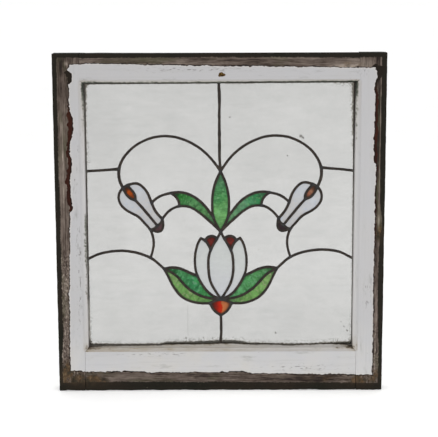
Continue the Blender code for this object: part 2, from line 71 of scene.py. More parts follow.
SASH_LOW, SASH_HIGH = CAD_BOX
FRONT, BACK = SASH_LOW.y, SASH_HIGH.y
OPEN_LEFT, OPEN_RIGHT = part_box("stile_left")[1].x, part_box("stile_right")[0].x
OPEN_LOW, OPEN_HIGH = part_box("rail_bottom")[1].z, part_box("rail_top")[0].z
PANEL_LOW, PANEL_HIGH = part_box("lead_lattice")
PANEL_MIDDLE = (PANEL_LOW + PANEL_HIGH) / 2
HALF_SASH = (SASH_HIGH.x - SASH_LOW.x) / 2
HALF_W, HALF_H = (OPEN_RIGHT - OPEN_LEFT) / 2, (OPEN_HIGH - OPEN_LOW) / 2
WIDE, HIGH = HALF_W / MM, HALF_H / MM

# Sash sections
BEVEL_WIDTH = 6 * MM
BEVEL_DEPTH = 7 * MM
TONGUE_DEPTH = 22 * MM
REBATE_WIDTH = 8 * MM
EDGE_WEAR = 1.5 * MM
END_WEAR, END_REACH = 1.2 * MM, 1.3 * MM     # rounding of the stiles' ends
END_MARKS = (0.15, 0.4, 0.8, 1.3)     # mm from those ends where sections are added
JOINT_GAP = 0.3 * MM
OPEN_JOINT = 0.35 * MM        # rounding of a member's edge where it shows as a joint
WORN_BACK = {"stile_left": 3.2 * MM, "stile_right": 3.5 * MM, "rail_top": 1.2 * MM}
WORN_FROM = 14 * MM           # how far from the bevel the face starts to be worn back
GRID = MM * COARSE            # mesh spacing on the faces of the sash
MERGE = 0.01 * MM             # points nearer than this become one
PUTTY_TRIM = 0.15 * MM
PUTTY_ROWS = 7                # points down the putty's slope
PUTTY_REACH = 0.85            # share of the way to the wall at the slope's thick end
# In mm, at places along the head: how far the opening is out of level, and how far the
# upper side is worn below the ends of the stiles.
HEAD_RISE = [(-100, 0), (249, 1.7)]
HEAD_WORN = [(-240, 0.2), (-140, 1.3), (-40, 1.9), (65, 2.3), (160, 2.1), (250, 1.6)]

# Catch hole in the top rail
HOLE_WIDE, HOLE_HIGH, HOLE_DEEP = 12 * MM, 7.6 * MM, 8 * MM
HOLE_DROP, HOLE_SHIFT = 39 * MM, 3.5 * MM
AROUND_HOLE = np.arange(-7, 7.1, 0.5) * MM    # where the mesh is finer around it

# Leaded panel
CAME_FACE = 4.6 * MM
FLANGE = 0.9 * MM
HEART = 1.5 * MM
GLASS = 3 * MM
GLAZING_GAP = 0.35 * MM
BORDER_OUT = 7 * MM
CENTRE_LEAN = -1.6 * MM
LEAN_WITHIN = 24              # mm above the crossing over which it starts to lean
NARROWER = 1.1 * MM           # by how much less of the border shows low on the right
RIM_FROM, RIM_FULL = 12, 2.3  # mm from the opening's edge where its own shifts begin and end
STRAIGHT = radians(20)
FINE = 24                     # points of a spline between two drawn ones
CAME_STEP = 2.4 * MM * COARSE         # mesh spacing along the came
TURN_STEP = radians(7) * COARSE
PARALLEL = 0.2                # sine of the angle under which two lines count as parallel
TINY = 1e-18                  # stands in for a divisor of 0
SHARP = radians(50)           # turn between faces from which an edge shows as one


# ---------------------------------------------------------------- noise and tables

def hashed(cells, seed):
    """A repeatable value from -1 to 1 for each cell of a lattice."""
    primes = np.array([73856093, 19349663, 83492791][:cells.shape[-1]], np.int64)
    mixed = (cells.astype(np.int64) * primes).sum(-1) + seed * 982451653
    mixed = (mixed ^ (mixed >> 13)) * 1274126177
    mixed = mixed ^ (mixed >> 16)
    return (mixed & 0xFFFF) / 32767.5 - 1


def noise(points, size, seed=0):
    """Smooth values from about -1 to 1, with grains of a size, which may differ by axis."""
    spot = np.asarray(points, float) / size
    cell = np.floor(spot)
    part = spot - cell
    part = part * part * (3 - 2 * part)
    total = 0
    for corner in np.ndindex(*(2,) * spot.shape[-1]):
        corner = np.array(corner)
        total = total + np.where(corner, part, 1 - part).prod(-1) * hashed(cell + corner, seed)
    return total


def smooth_step(low, high, value):
    t = np.clip((value - low) / (high - low), 0, 1)
    return t * t * (3 - 2 * t)


def lookup(table, along):
    """Reads a table's rows of a place and its numbers: one array for each number."""
    places, *columns = zip(*table)
    found = [np.interp(along, places, column) for column in columns]
    return found if len(found) > 1 else found[0]


def patches(table, x, z, column=None):
    """Sum of soft patches (x, z, half width, half height, amounts), by one amount."""
    return sum(np.exp(-((x - row[0]) / row[2]) ** 2 - ((z - row[1]) / row[3]) ** 2)
               * (row[column] if column else 1) for row in table)


def side_distances(x, z, wide, low, high):
    """How far in x and z lie from the left, right, top and bottom of a frame."""
    return np.array([wide + x, wide - x, high - z, z - low])


def by_side(tables, x, z):
    """What the table of each side says at the place of x and z along that side."""
    return np.array([lookup(table, along) for table, along in zip(tables.values(), (z, z, x, x))])


# ---------------------------------------------------------------- shaders

LEVEL = 0.83                  # how much of a seen colour suits the studio's light


def tint(code, gain=1.0):
    """Linear colour of a #rrggbb code, as it is seen in the studio's light."""
    parts = [int(code[i:i + 2], 16) / 255 for i in (1, 3, 5)]
    return tuple(gain * LEVEL * (c / 12.92 if c < 0.04045 else ((c + 0.055) / 1.055) ** 2.4)
                 for c in parts)


class Shader:
    """A node material, built up by short calls that each return a socket."""

    def __init__(self, name, roughness, specular=0.5, transmission=0.0):
        self.material = bpy.data.materials.new(name)
        self.material.use_nodes = True
        self.tree = self.material.node_tree
        self.inputs = self.tree.nodes["Principled BSDF"].inputs
        self.inputs["Roughness"].default_value = roughness
        self.inputs["Specular IOR Level"].default_value = specular
        self.inputs["Transmission Weight"].default_value = transmission

    @property
    def place(self):
        return self.node("TexCoord", out="Object")

    def put(self, socket, value):
        """Links or sets an input; a colour may be a code."""
        if isinstance(value, bpy.types.NodeSocket):
            self.tree.links.new(value, socket)
        elif socket.type == "RGBA":
            socket.default_value = (*(tint(value) if isinstance(value, str) else value), 1)
        else:
            socket.default_value = value

    def node(self, kind, inputs=(), out=0, **settings):
        made = self.tree.nodes.new("ShaderNode" + kind)
        for key, value in settings.items():
            setattr(made, key, value)
        for key, value in dict(inputs).items():
            self.put(made.inputs[key], value)
        return made.outputs[out]

    def value(self, name, out="Fac"):
        """A number, or with out="Vector" a vector, kept on the mesh's vertices."""
        return self.node("Attribute", out=out, attribute_name=name)

    def noise(self, vector, scale, detail=3, roughness=0.6, distortion=0.0):
        """Noise from about 0.3 to 0.7; the scale may differ by axis."""
        if isinstance(scale, tuple):
            vector, scale = self.node("Mapping", {"Vector": vector, "Scale": scale}), 1.0
        return self.node("TexNoise", {"Vector": vector, "Scale": scale, "Detail": detail,
                                      "Roughness": roughness, "Distortion": distortion})

    def math(self, operation, *values):
        return self.node("Math", enumerate(values), operation=operation)

    def times(self, first, second):
        return self.math("MULTIPLY", first, second)

    def total(self, *terms):
        """Sum of values; one with a weight is a pair."""
        summed = 0.0
        for term in terms:
            value, weight = term if isinstance(term, tuple) else (term, 1)
            summed = self.math("MULTIPLY_ADD", value, weight, summed)
        return summed

    def spread(self, value, low, high, to_low, to_high, kind="LINEAR"):
        """Stretches low to high over another range, and holds the value within it."""
        return self.node("MapRange", enumerate((value, low, high, to_low, to_high)),
                         interpolation_type=kind)

    def step(self, value, low, high):
        """0 below low, 1 above high, smooth between."""
        return self.spread(value, low, high, 0, 1, "SMOOTHSTEP")

    def swing(self, value, high, low=None):
        """Stretches a noise's usual values over a range, by default as far below 0."""
        return self.spread(value, 0.3, 0.7, -high if low is None else low, high)

    def mix(self, first, second, share, strength=1):
        """The first colour with a share of the second over it."""
        share = share if strength == 1 else self.times(share, strength)
        return self.node("Mix", {"Factor": share, 6: first, 7: second}, out=2,
                         data_type="RGBA")

    def ramp(self, value, *stops):
        """A colour for each value: stops are (place, colour)."""
        made = self.node("ValToRGB", {"Fac": value})
        elements = made.node.color_ramp.elements
        while len(elements) < len(stops):
            elements.new(0.5)
        for element, (at, colour) in zip(elements, stops):
            element.position = at
            element.color = (*(tint(colour) if isinstance(colour, str) else colour), 1)
        return made

    def finish(self, colour, height=None, depth=0.0002, roughness=None):
        self.put(self.inputs["Base Color"], colour)
        if roughness:
            self.put(self.inputs["Roughness"], roughness)
        if height:
            self.put(self.inputs["Normal"],
                     self.node("Bump", {"Height": height, "Distance": depth}))
        return self.material


# ---------------------------------------------------------------- pieces

def write(mesh, **values):
    """Keeps numbers or vectors on a mesh's vertices, each under its name."""
    for key, numbers in values.items():
        numbers = np.asarray(numbers, np.float32)
        single = numbers.ndim == 1
        layer = mesh.attributes.new(key, "FLOAT" if single else "FLOAT_VECTOR", "POINT")
        layer.data.foreach_set("value" if single else "vector", numbers.ravel())


def read(mesh, key):
    """What the vertices hold under a name, or their normals."""
    layer = mesh.vertex_normals if key == "normal" else mesh.attributes[key].data
    width = 3 if key in ("normal", "position", "grain") else 1
    out = np.empty(len(layer) * width)
    layer.foreach_get("vector" if width == 3 else "value", out)
    return out.reshape(-1, 3) if width == 3 else out


def mesh_object(name, points, faces, finish, **values):
    """A mesh from points and faces, welded, facing out, with named numbers on it."""
    mesh = bpy.data.meshes.new(name)
    mesh.from_pydata(np.asarray(points, float).tolist(), [], faces)
    write(mesh, **values)
    work = bmesh.new()
    work.from_mesh(mesh)
    bmesh.ops.remove_doubles(work, verts=work.verts, dist=MERGE)
    if work.calc_volume(signed=True) < 0:
        bmesh.ops.reverse_faces(work, faces=work.faces)
    work.to_mesh(mesh)
    work.free()
    mesh.shade_smooth()
    mesh.set_sharp_from_angle(angle=SHARP)
    mesh.materials.append(finish)
    made = bpy.data.objects.new(name, mesh)
    bpy.context.scene.collection.objects.link(made)
    return made


def stands_for(piece, node):
    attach(piece, "root")
    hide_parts(node)


def quads(first, second, count):
    """Quads between two closed rows of as many points."""
    return [(first + i, first + (i + 1) % count, second + (i + 1) % count, second + i)
            for i in range(count)]


def inside(points, loop, most=2000000):
    """Which of the points lie within a closed loop, with at most so many tests at once."""
    points = np.asarray(points, float)
    x, y = loop[:, 0], loop[:, 1]
    nx, ny = np.roll(x, -1), np.roll(y, -1)
    run = (nx - x) / np.where(ny == y, 1, ny - y)
    found = np.zeros(len(points), bool)
    near = np.where((points >= loop.min(0)).all(1) & (points <= loop.max(0)).all(1))[0]
    for block in np.array_split(near, len(near) * len(loop) // most + 1):
        px, py = points[block, 0, None], points[block, 1, None]
        crossed = ((y > py) != (ny > py)) & (px < run * (py - y) + x)
        found[block] = np.count_nonzero(crossed, axis=1) % 2 == 1
    return found


def filled(outer, holes=(), spots=()):
    """Triangles that fill a loop around its holes, over the points in the order given."""
    points, edges = [], []
    for loop in (outer, *holes):
        edges += [(len(points) + i, len(points) + (i + 1) % len(loop)) for i in range(len(loop))]
        points += loop.tolist()
    points = [Vector(point) for point in (*points, *np.asarray(spots).tolist())]
    flat, _, triangles, origins, _, _ = delaunay_2d_cdt(points, edges, [], 1, 1e-9)
    triangles = np.array(triangles)
    middles = np.array(flat)[triangles].mean(1)
    kept = inside(middles, outer)
    for hole in holes:
        kept &= ~inside(middles, hole)
    return [tuple(origins[i][0] for i in triangle) for triangle in triangles[kept]]


def capped(sections, count, first, last):
    """Faces round a row of sections of as many points, with both its ends filled."""
    faces = [quad for k in range(sections - 1) for quad in quads(k * count, (k + 1) * count, count)]
    end = (sections - 1) * count
    return (faces + [face[::-1] for face in filled(first)]
            + [tuple(end + i for i in face) for face in filled(last)])


# ---------------------------------------------------------------- sash

# Where the white paint ends on the front, in mm: place along the side, then the edge's
# distance from the sash's outer side there.
PAINT_EDGES = {
    "left": [(0, 21), (73, 20.8), (123, 21), (150, 22), (187, 21.4), (231, 23.5), (262, 24.3),
        (318, 26), (343, 26.5), (346, 30.4), (357, 31), (376, 28.2), (402, 27.6), (432, 31.8),
        (455, 28.7), (470, 28.9), (483, 32.2), (498, 35.6), (520, 34.8), (530, 30), (545, 29),
        (579, 29), (584, 34.5), (591, 36), (599, 35.5), (605, 27), (613, 32), (635, 32)],
    "right": [(0, 17), (45, 17.5), (111, 17.3), (187, 17.6), (262, 17.6), (316, 17.7),
        (400, 17.2), (431, 16.8), (434, 20.8), (471, 21.5), (498, 20.8), (528, 20), (556, 20),
        (574, 22.4), (591, 16.5), (600, 18), (608, 22), (635, 22)],
    "top": [(-305, 22), (-277, 21), (-257, 20), (-234, 18.6), (-122, 21), (-25, 23.6), (50, 24),
        (55, 26), (62, 24), (162, 26), (232, 27), (270, 28), (305, 29)],
    "bottom": [(-305, 41), (-262, 39), (-258, 37.5), (-226, 38), (-217, 36.6), (-214, 38.6),
        (-190, 38.8), (-187, 37), (-183, 38.8), (-143, 38.4), (-140, 36.4), (-3, 36.9), (0, 38.6),
        (6, 38.6), (8, 36), (14, 36), (16, 38.2), (45, 37.8), (48, 35.2), (62, 34.4), (166, 32.2),
        (230, 32), (305, 29.6)],
}
# How far the old dark paint shows past it, in mm
RESIDUE = {
    "left": [(0, 0), (343, 0), (346, 7), (357, 7.5), (394, 7.7), (432, 8), (451, 7.2), (483, 8.2),
        (505, 10.4), (522, 9), (530, 4), (545, 2.5), (577, 1), (584, 8), (600, 11), (605, 1),
        (635, 0)],
    "right": [(0, 0.8), (250, 2), (300, 3.2), (431, 3.4), (434, 6.8), (471, 6), (498, 6.6),
        (545, 6.4), (562, 6.4), (580, 5), (592, 9), (597, 15), (610, 16), (613, 0), (635, 0)],
    "top": [(-305, 0), (-80, 0.6), (-40, 1.2), (80, 1), (276, 0), (282, 9), (305, 9)],
    "bottom": [(-305, 0), (-262, 0), (-258, 1.6), (-246, 1.6), (-243, 0), (-217, 0), (-214, 2.8),
        (-190, 3), (-187, 0.8), (-183, 3), (-143, 2.8), (-140, 0), (-3, 0), (0, 2.6), (6, 2.6),
        (8, 0.2), (14, 0.2), (16, 2.8), (45, 2.6), (48, 0), (305, 0)],
}
# Width of the dark band round the outside, in mm
BAND = {
    "left": [(0, 6), (73, 5.7), (111, 8), (187, 7.5), (262, 7.7), (328, 7.5), (394, 7.1),
        (451, 6.6), (498, 7.3), (545, 6.7), (602, 7.4), (635, 8)],
    "right": [(0, 6.5), (73, 5.3), (111, 7.2), (187, 9), (262, 8.6), (284, 7), (300, 6), (312, 4),
        (335, 3.5), (345, 6), (394, 7), (451, 8.4), (498, 7.5), (545, 8.4), (602, 8), (635, 9)],
    "top": [(-305, 7), (-256, 7), (-254, 8.2), (0, 7.4), (150, 7.8), (254, 9), (256, 8.2),
        (305, 8.2)],
    "bottom": [(-305, 16), (-200, 17.5), (0, 16.8), (150, 15.5), (305, 14)],
}
SEEN_INSET = 1.7              # mm of the outer edges that wear and rounding take away
# Stains and dirt inside the opening, with painted shade on the head's bevel and deep in
# the recess by the glass, at places along each side: tan stains on the bevel and at the
# glass, then dark dirt on the bevel and at the glass, each with that painted shade in it.
SOIL_AND_SHADE = {
    "left": [(82, 0.5, 0.7, 0.2, 0.7), (95, 0.1, 0.2, 0, 0.2), (150, 0, 0.1, 0, 0.2),
        (180, 0, 0.1, 0, 0.5), (230, 0, 0.1, 0, 0.5), (270, 0, 0.1, 0, 0.75),
        (325, 0, 0.1, 0, 0.75), (345, 0, 0, 0, 0.1), (450, 0, 0.1, 0, 0.1),
        (490, 0.1, 0.3, 0, 0.4), (540, 0.2, 0.6, 0, 0.7), (580, 0.3, 0.9, 0.05, 1.3)],
    "right": [(82, 0.6, 0.8, 0.2, 0.6), (110, 0, 0.1, 0, 0.1), (200, 0, 0, 0, 0),
        (450, 0, 0.1, 0, 0.1), (478, 0, 0.2, 0, 0.4), (510, 0.1, 0.3, 0, 0.5),
        (545, 0.2, 0.5, 0, 0.65), (565, 0.2, 0.7, 0, 1.1), (580, 0.3, 0.9, 0, 1.3)],
    "top": [(-249, 0.5, 1.2, 0.3, 1.3), (-200, 0.25, 1.1, 0, 1.2), (0, 0.25, 1.1, 0, 1.2),
        (60, 0.25, 1.1, 0, 1.4), (249, 0.6, 1.2, 0.2, 1.5)],
    "bottom": [(-249, 1.3, 1.4, 0.5, 1), (-225, 0.95, 1, 0.05, 0.3), (-130, 0.8, 0.85, 0, 0.1),
        (0, 0.75, 0.8, 0, 0.1), (100, 0.5, 0.55, 0, 0.05), (200, 0.3, 0.35, 0, 0.1),
        (235, 0.45, 0.7, 0.1, 0.45), (249, 0.9, 1.1, 0.4, 1)],
}
# Old putty and dirt that has built up along the foot of the opening: place along it, its
# height on the ledge and the width of the dark line above it, in mm.
BUILT_UP = [(-249, 0.3, 3.4), (-200, 0.6, 2.4), (-150, 1.1, 1.8), (-130, 1.7, 1.6),
    (-112, 1.5, 1.6), (-104, 3, 3.4), (-60, 3.3, 3.8), (-20, 4, 4.4), (0, 4.7, 4.6), (25, 4.2, 5),
    (42, 3.6, 4), (52, 2.6, 2), (100, 1.6, 1.8), (132, 0.6, 1.6), (164, 1.7, 0.9),
    (205, 3.2, 1.2), (225, 2.8, 2.6), (249, 2.2, 4.6)]
# Spots of bare wood that are lighter or rustier: x and z of the middle, half width and
# half height in mm, how much lighter, how much rustier.
WOOD_SPOTS = [(-290, 430, 6, 70, 0.2, 0), (-291, 200, 9, 50, 0.6, 0),
    (-290, 600, 20, 55, -0.6, 0), (-287.5, 430, 1, 90, 0.5, 0), (-286.5, 300, 0.8, 55, -1, 0),
    (-284, 36, 20, 24, 0.1, 1), (-250, 22, 40, 14, -0.2, 1.1), (-279, 616, 4, 4, 1.3, 0),
    (293.5, 480, 0.9, 165, 2.1, 0), (291, 490, 14, 180, -1.5, 0), (292, 200, 3, 130, 0.15, 0),
    (294, 326, 6, 9, 0.9, 0.2), (295, 298, 9, 17, -0.7, 0.9), (262, 22, 18, 12, 0.1, 1.1),
    (290, 30, 10, 16, 0.1, 0.9), (238, 612, 44, 9, 1, 0.5), (100, 622, 90, 12, -0.2, 0),
    (290, 606, 12, 4, -0.8, 0), (-100, 622, 160, 12, -0.3, 0), (-60, 617, 160, 2, 0.35, 0.1),
    (-100, 25, 110, 12, -0.2, 0), (60, 23, 130, 12, -0.3, 0), (190, 24, 60, 12, -0.75, 0.4),
    (-139, 5.5, 2, 1.6, 2.6, 0)]
CRUMBLED_TO = (330, 140)      # mm up the left and the right side to which bare wood crumbles
OLD_HIGH, OLD_LOW = (0.556, 0.584), (0.06, 0.045)     # m up where the old paint turns duller
# A bright chip in the dark band, and worn, smudged stretches of the paint: x and z of the
# middle, half width and half height in mm.
BRIGHT_CHIP = [(-139, 5.5, 2, 1.6)]
SMUDGES = [(-262, 260, 5, 70), (-262, 160, 5, 40), (-266, 400, 4, 30), (-258, 470, 5, 20),
    (275, 190, 8, 25), (262, 600, 10, 6), (-120, 72, 60, 4), (150, 45, 60, 6), (-40, 606, 90, 4),
    (237, 43, 18, 1)]


def front_map(x, z):
    """Numbers in mm that say what covers the front at x, z (mm from the sash's foot)."""
    flat = np.stack([x, z], axis=1)
    away = side_distances(x, z, HALF_SASH / MM - SEEN_INSET, 0, SASH_HIGH.z / MM)
    gaps = away - by_side(PAINT_EDGES, x, z)
    ragged = 0.9 * noise(flat, 9, 1) + 0.9 * noise(flat, 3.1, 2) + 0.4 * noise(flat, 1.3, 3)
    paint = gaps.min(0) + ragged
    past = np.choose(gaps.argmin(0), by_side(RESIDUE, x, z))
    residue = paint + past * (1 + 0.25 * noise(flat, 7, 4)) - 0.6
    band = (by_side(BAND, x, z) - away).max(0)
    band += 0.6 * noise(flat, 12, 5) - 14 * patches(BRIGHT_CHIP, x, z)
    foot = np.where(x < 0, *CRUMBLED_TO) + 40 * noise(flat, 30, 6)
    crumbled = np.maximum(smooth_step(foot, foot - 60, z) * (np.abs(x) > 262),
                          0.5 * smooth_step(190, 270, np.abs(x)) * (z < 60))
    return {"paint": paint, "residue": residue, "band": band, "crumbled": crumbled,
            "light": patches(WOOD_SPOTS, x, z, 4), "rust": patches(WOOD_SPOTS, x, z, 5),
            "smudged": patches(SMUDGES, x, z)}


# A member's section has eight sides, from the back round the outside to the front, the
# bevel, the tongue and the rebate: roundings of the corners and spacing of the rows, in mm.
ROUNDINGS = (1.0, 0.5, 0.5, 0.9, 0.8, 0.5, 0.5, 1.0)
ROW_STEPS = (3.5, 1, 1, 1.2, 2.5, 3, 4, 5)
ARC = (0, 1 / 3, 2 / 3, 1)    # points of each rounded corner
# A row's number says on which side of the section it lies, less a half on a corner's first
# points: the bevel is 3, the tongue 4, and the rebate begins at 5.
REBATE_ROW = 5
BARE_SUNK, OLD_SUNK, PAINT_SUNK = 0.34, 0.2, 0.06     # mm below the drawn faces


def section_corners(stations, face, reach, groove, gone):
    """Corners of the section at each station: (stations, sides, 2) as (across, y)."""
    tongue, outer = FRONT + TONGUE_DEPTH, EDGE_WEAR + gone
    inner = face + reach
    wall = np.where(groove, face + BEVEL_WIDTH - REBATE_WIDTH, inner)
    corners = (gone, BACK - gone, gone, FRONT + outer, outer, FRONT + gone,
               face, FRONT + gone, inner, FRONT + reach * BEVEL_DEPTH / BEVEL_WIDTH + gone,
               inner, tongue, wall, tongue, wall, BACK - gone)
    level = [np.broadcast_to(value, stations.shape) for value in corners]
    return np.stack(level, axis=1).reshape(len(stations), -1, 2)


def section_rows(corners, radii, shares):
    """Points round each section: short curves at the corners, steps along the sides."""
    before = np.roll(corners, 1, axis=1) - corners
    after = np.roll(corners, -1, axis=1) - corners
    back, ahead = (np.linalg.norm(step, axis=2) for step in (before, after))
    cut = np.minimum(radii, np.minimum(back, ahead) / 3)[..., None]
    start = corners + before / np.maximum(back, MERGE / 10)[..., None] * cut
    stop = corners + after / np.maximum(ahead, MERGE / 10)[..., None] * cut
    following = np.roll(start, -1, axis=1)
    rows, part = [], []
    for k, steps in enumerate(shares):
        rows += [(1 - t) ** 2 * start[:, k] + 2 * t * (1 - t) * corners[:, k] + t * t * stop[:, k]
                 for t in ARC]
        rows += [stop[:, k] * (1 - share) + following[:, k] * share for share in steps]
        part += [k - 0.5 if t < 0.5 else k for t in ARC] + [k] * len(steps)
    return np.stack(rows, axis=1), np.array(part)


def stations_along(span, marks):
    """Places of a member's sections: evenly over its span, and at the marks within it."""
    inner = [mark for mark in marks if span[0] < mark < span[1]]
    return np.unique(np.concatenate([np.arange(span[0], span[1], GRID), [span[1]], inner]))


def member(name, face, span, opening, grooved, place, joints, seed, finish):
    """One stile or rail: sections along its length, mitred tongue, rebate, worn faces."""
    low, high = opening[0] - BEVEL_WIDTH, opening[1] + BEVEL_WIDTH
    is_head, is_stile = name == "rail_top", name.startswith("stile")
    marks = [low, *opening, high, *(HOLE_SHIFT + AROUND_HOLE if is_head else ())]
    marks += [end + aside for end in grooved for aside in (-MERGE / 4, MERGE / 4)]
    if is_stile:
        marks += [mark for step in END_MARKS
                  for mark in (span[0] + step * MM, span[1] - step * MM)]
    stations = stations_along(span, marks)
    reach = np.clip(np.minimum(stations - low, high - stations) - JOINT_GAP / 2, 0, BEVEL_WIDTH)
    groove = (stations > grooved[0]) & (stations < grooved[1])
    from_end = np.minimum(stations - span[0], span[1] - stations) / END_REACH
    gone = is_stile * END_WEAR * (1 - np.sqrt(1 - np.clip(1 - from_end, 0, 1) ** 2))
    radii = np.tile(np.array(ROUNDINGS) * MM, (len(stations), 1))
    radii[:, 3] = np.select([stations < low, stations > high], joints, radii[0, 3])
    lengths = (BACK - FRONT, EDGE_WEAR, face, np.hypot(BEVEL_WIDTH, BEVEL_DEPTH),
               TONGUE_DEPTH - BEVEL_DEPTH, REBATE_WIDTH, BACK - FRONT - TONGUE_DEPTH, face)
    counts = [max(1, ceil(length / (step * GRID))) for length, step in zip(lengths, ROW_STEPS)]
    shares = [np.arange(1, count) / count for count in counts]
    if is_head:
        rows_at = (HOLE_DROP + AROUND_HOLE[3:-3]) / face
        shares[2] = np.unique(np.round(np.concatenate([shares[2], rows_at]), 5))
    rows, part = section_rows(section_corners(stations, face, reach, groove, gone), radii, shares)
    count = rows.shape[1]
    along, reached = np.repeat(stations, count), np.repeat(reach, count)
    across, y = rows[..., 0].ravel(), rows[..., 1].ravel()
    parts = np.tile(part, len(stations))
    up = np.clip((across - face + WORN_FROM) / WORN_FROM, 0, 1)
    over = np.clip((across - face) / np.maximum(reached, MERGE / 10), 0, 1)
    started = np.clip(reached / (BEVEL_WIDTH / 4), 0, 1)
    on_bevel = np.abs(parts - 3) < 1.6
    across = across - WORN_BACK.get(name, 0) * on_bevel * started * up * (1 - over)
    if is_head:
        behind = np.clip(1 - (face + reached - across) / REBATE_WIDTH, 0, 1)
        rise = lookup(HEAD_RISE, along / MM) * MM * reached / BEVEL_WIDTH
        across = across - rise * np.where(parts < 4.5, over, behind) * (parts < 5.4)
    x, z = place(along, across)
    values = front_map(x / MM, z / MM)
    values["paint"] = np.where(parts >= REBATE_ROW, -9, values["paint"])
    values["inner"] = np.where((parts >= 2.5) & (parts < REBATE_ROW), (y - FRONT) / MM, 0)
    values["behind"] = parts >= 4.9
    values["outer"] = (parts < 1) | (parts > 7.4)
    values["grain"] = np.stack([along, across, y + seed], axis=1)
    return mesh_object(name + "_worn", np.stack([x, y, z], axis=1),
                       capped(len(stations), count, rows[0], rows[-1]), finish, **values)


def worn(mesh, name):
    """Sinks the bare wood below the paint, and gives both their relief."""
    co, normal, grain = read(mesh, "position"), read(mesh, "normal"), read(mesh, "grain")

    def grained(size, seed):
        return noise(grain / MM, size, seed)

    ridges = grained((60, 1.8, 1.8), 11) + 0.6 * grained((25, 1.1, 1.1), 12)
    bare = BARE_SUNK + 0.13 * ridges + 0.12 * grained((20, 6, 6), 14)
    covered = PAINT_SUNK + 0.03 * grained((45, 2.2, 2.2), 13) + 0.03 * grained(5, 15)
    old = OLD_SUNK + 0.05 * grained(4, 16)
    depth = bare + (old - bare) * smooth_step(-0.5, 0.5, read(mesh, "residue"))
    depth = depth + (covered - depth) * smooth_step(-0.45, 0.45, read(mesh, "paint"))
    chewed = 0.35 + 0.35 * grained((14, 9, 9), 17) + 0.25 * grained(4, 18)
    near_edge = smooth_step(-2, 3, read(mesh, "band")) * (1 - read(mesh, "behind"))
    depth = depth + np.maximum(chewed, 0) * near_edge * 0.55
    if name.startswith("rail"):
        lengthways = grain[:, :1] / MM
        rough = 0.5 * noise(lengthways, 11, 19) + 0.5 * noise(lengthways, 4, 20)
        low = lookup(HEAD_WORN, co[:, 0] / MM) + 0.2 * rough if name == "rail_top" else 0.2
        outside = read(mesh, "outer") * (grain[:, 1] < EDGE_WEAR)
        depth = np.where(outside > 0, np.maximum(low, depth), depth)
    if name == "rail_top":
        right, up = co[:, 0] - HOLE_SHIFT, co[:, 2] - (SASH_HIGH.z - HOLE_DROP)
        angle = np.arctan2(up, right)
        rim = 1 + 0.13 * np.cos(3 * angle + 1) + 0.09 * np.cos(5 * angle)
        away = np.hypot(right / HOLE_WIDE * 2, up / HOLE_HIGH * 2) / rim
        front = co[:, 1] < FRONT + 2 * MM
        sink = HOLE_DEEP / MM * smooth_step(1.04, 0.80, away) + 0.5 * smooth_step(1.25, 0.95, away)
        depth = depth + sink * front
        write(mesh, hole=smooth_step(1.3, 0.9, away) * front)
    co -= normal * np.maximum(depth, 0)[:, None] * MM
    across = co[:, :1] / MM
    if name == "rail_bottom":
        heap = (lookup(BUILT_UP, across[:, 0])[0] + 0.3 * noise(across, 9, 24)
                + 0.2 * noise(across, 3, 25))
        heap *= smooth_step(3, 14, WIDE - np.abs(across[:, 0]))
        co[:, 2] += heap * smooth_step(9, 20, read(mesh, "inner")) * MM
    bumps = 0.45 + 0.6 * noise(across, 16, 22) + 0.35 * noise(across, 6, 23)
    co[:, 2] += np.clip(bumps, 0, 1.7) * MM * smooth_step(9, 0, co[:, 2] / MM)
    mesh.vertices.foreach_set("co", co.ravel())
    mesh.update()


def wood_colour(s, grain):
    """Weathered bare wood: long fibres under soft clouds, crumbled near the foot."""
    fibre = s.noise(grain, (7, 330, 330), 4, 0.6, 0.3)
    thread, cloud = s.noise(grain, (45, 900, 900)), s.noise(grain, (34, 80, 80), 4, 0.65)
    crumb = s.noise(grain, (200, 330, 330), 4, 0.7, 0.4)
    shade = s.total((s.swing(fibre, 1, 0), 0.4), (s.swing(cloud, 1, 0), 0.4),
                    (s.swing(thread, 0.5), 0.45), (s.value("light"), 0.45),
                    s.times(s.value("crumbled"), s.swing(crumb, 0.5)), 0.07)
    wood = s.ramp(shade, (0.0, "#271f1c"), (0.3, "#51463f"), (0.52, "#6c6058"),
                  (0.75, "#80746b"), (1.0, "#b0a396"))
    wood = s.mix(wood, "#55553f", s.step(s.noise(grain, (12, 45, 45)), 0.5, 0.7), 0.45)
    wood = s.mix(wood, "#2b221c", s.step(s.noise(grain, (5, 620, 620)), 0.58, 0.70), 0.6)
    rust = s.ramp(s.noise(s.place, 70, 5, 0.7, 0.5), (0.36, "#2a241a"), (0.46, "#40382a"),
                  (0.55, "#55402c"), (0.67, "#7b6a50"))
    eaten = s.spread(s.noise(s.place, 48, 3, 0.6, 0.3), 0.35, 0.6, 0.3, 1.4)
    return s.mix(wood, rust, s.step(s.times(s.value("rust"), eaten), 0.2, 0.9), 0.9), crumb


def paint_colour(s, grain):
    """Old white paint with slight stains, smudges and flecks; painted shade darkens it above the
    foot, and more near the top.
    """
    brush = s.noise(grain, (9, 260, 260), 3, 0.55)
    paint = s.ramp(s.noise(s.place, 18, 4), (0.32, "#cbcbcd"), (0.5, "#cfcecd"), (0.68, "#d1cec9"))
    # Painted shade by height: the paint is lightest at the foot, darker above it and darker still
    # near the top.
    painted_shade_by_height = s.total(s.spread(s.height, 0.04, 0.14, 0.1, 0.7), s.spread(s.height, 0.4, 0.63, 0, 0.15))
    paint = s.mix(paint, "#bab9bb", painted_shade_by_height)
    paint = s.mix(paint, "#b8b7b6", s.step(brush, 0.45, 1.0))
    paint = s.mix(paint, "#86857f", s.step(s.noise(grain, (16, 70, 70), 5, 0.7), 0.56, 0.80), 0.6)
    rubbed = s.step(s.noise(grain, (110, 420, 420)), 0.56, 0.66)
    paint = s.mix(paint, "#5d5953", s.times(rubbed, s.value("smudged")), 0.8)
    flecks = s.step(s.noise(s.place, 380, 2, 0.5), 0.745, 0.785)
    return s.mix(paint, "#6b6455", flecks, 0.5), brush


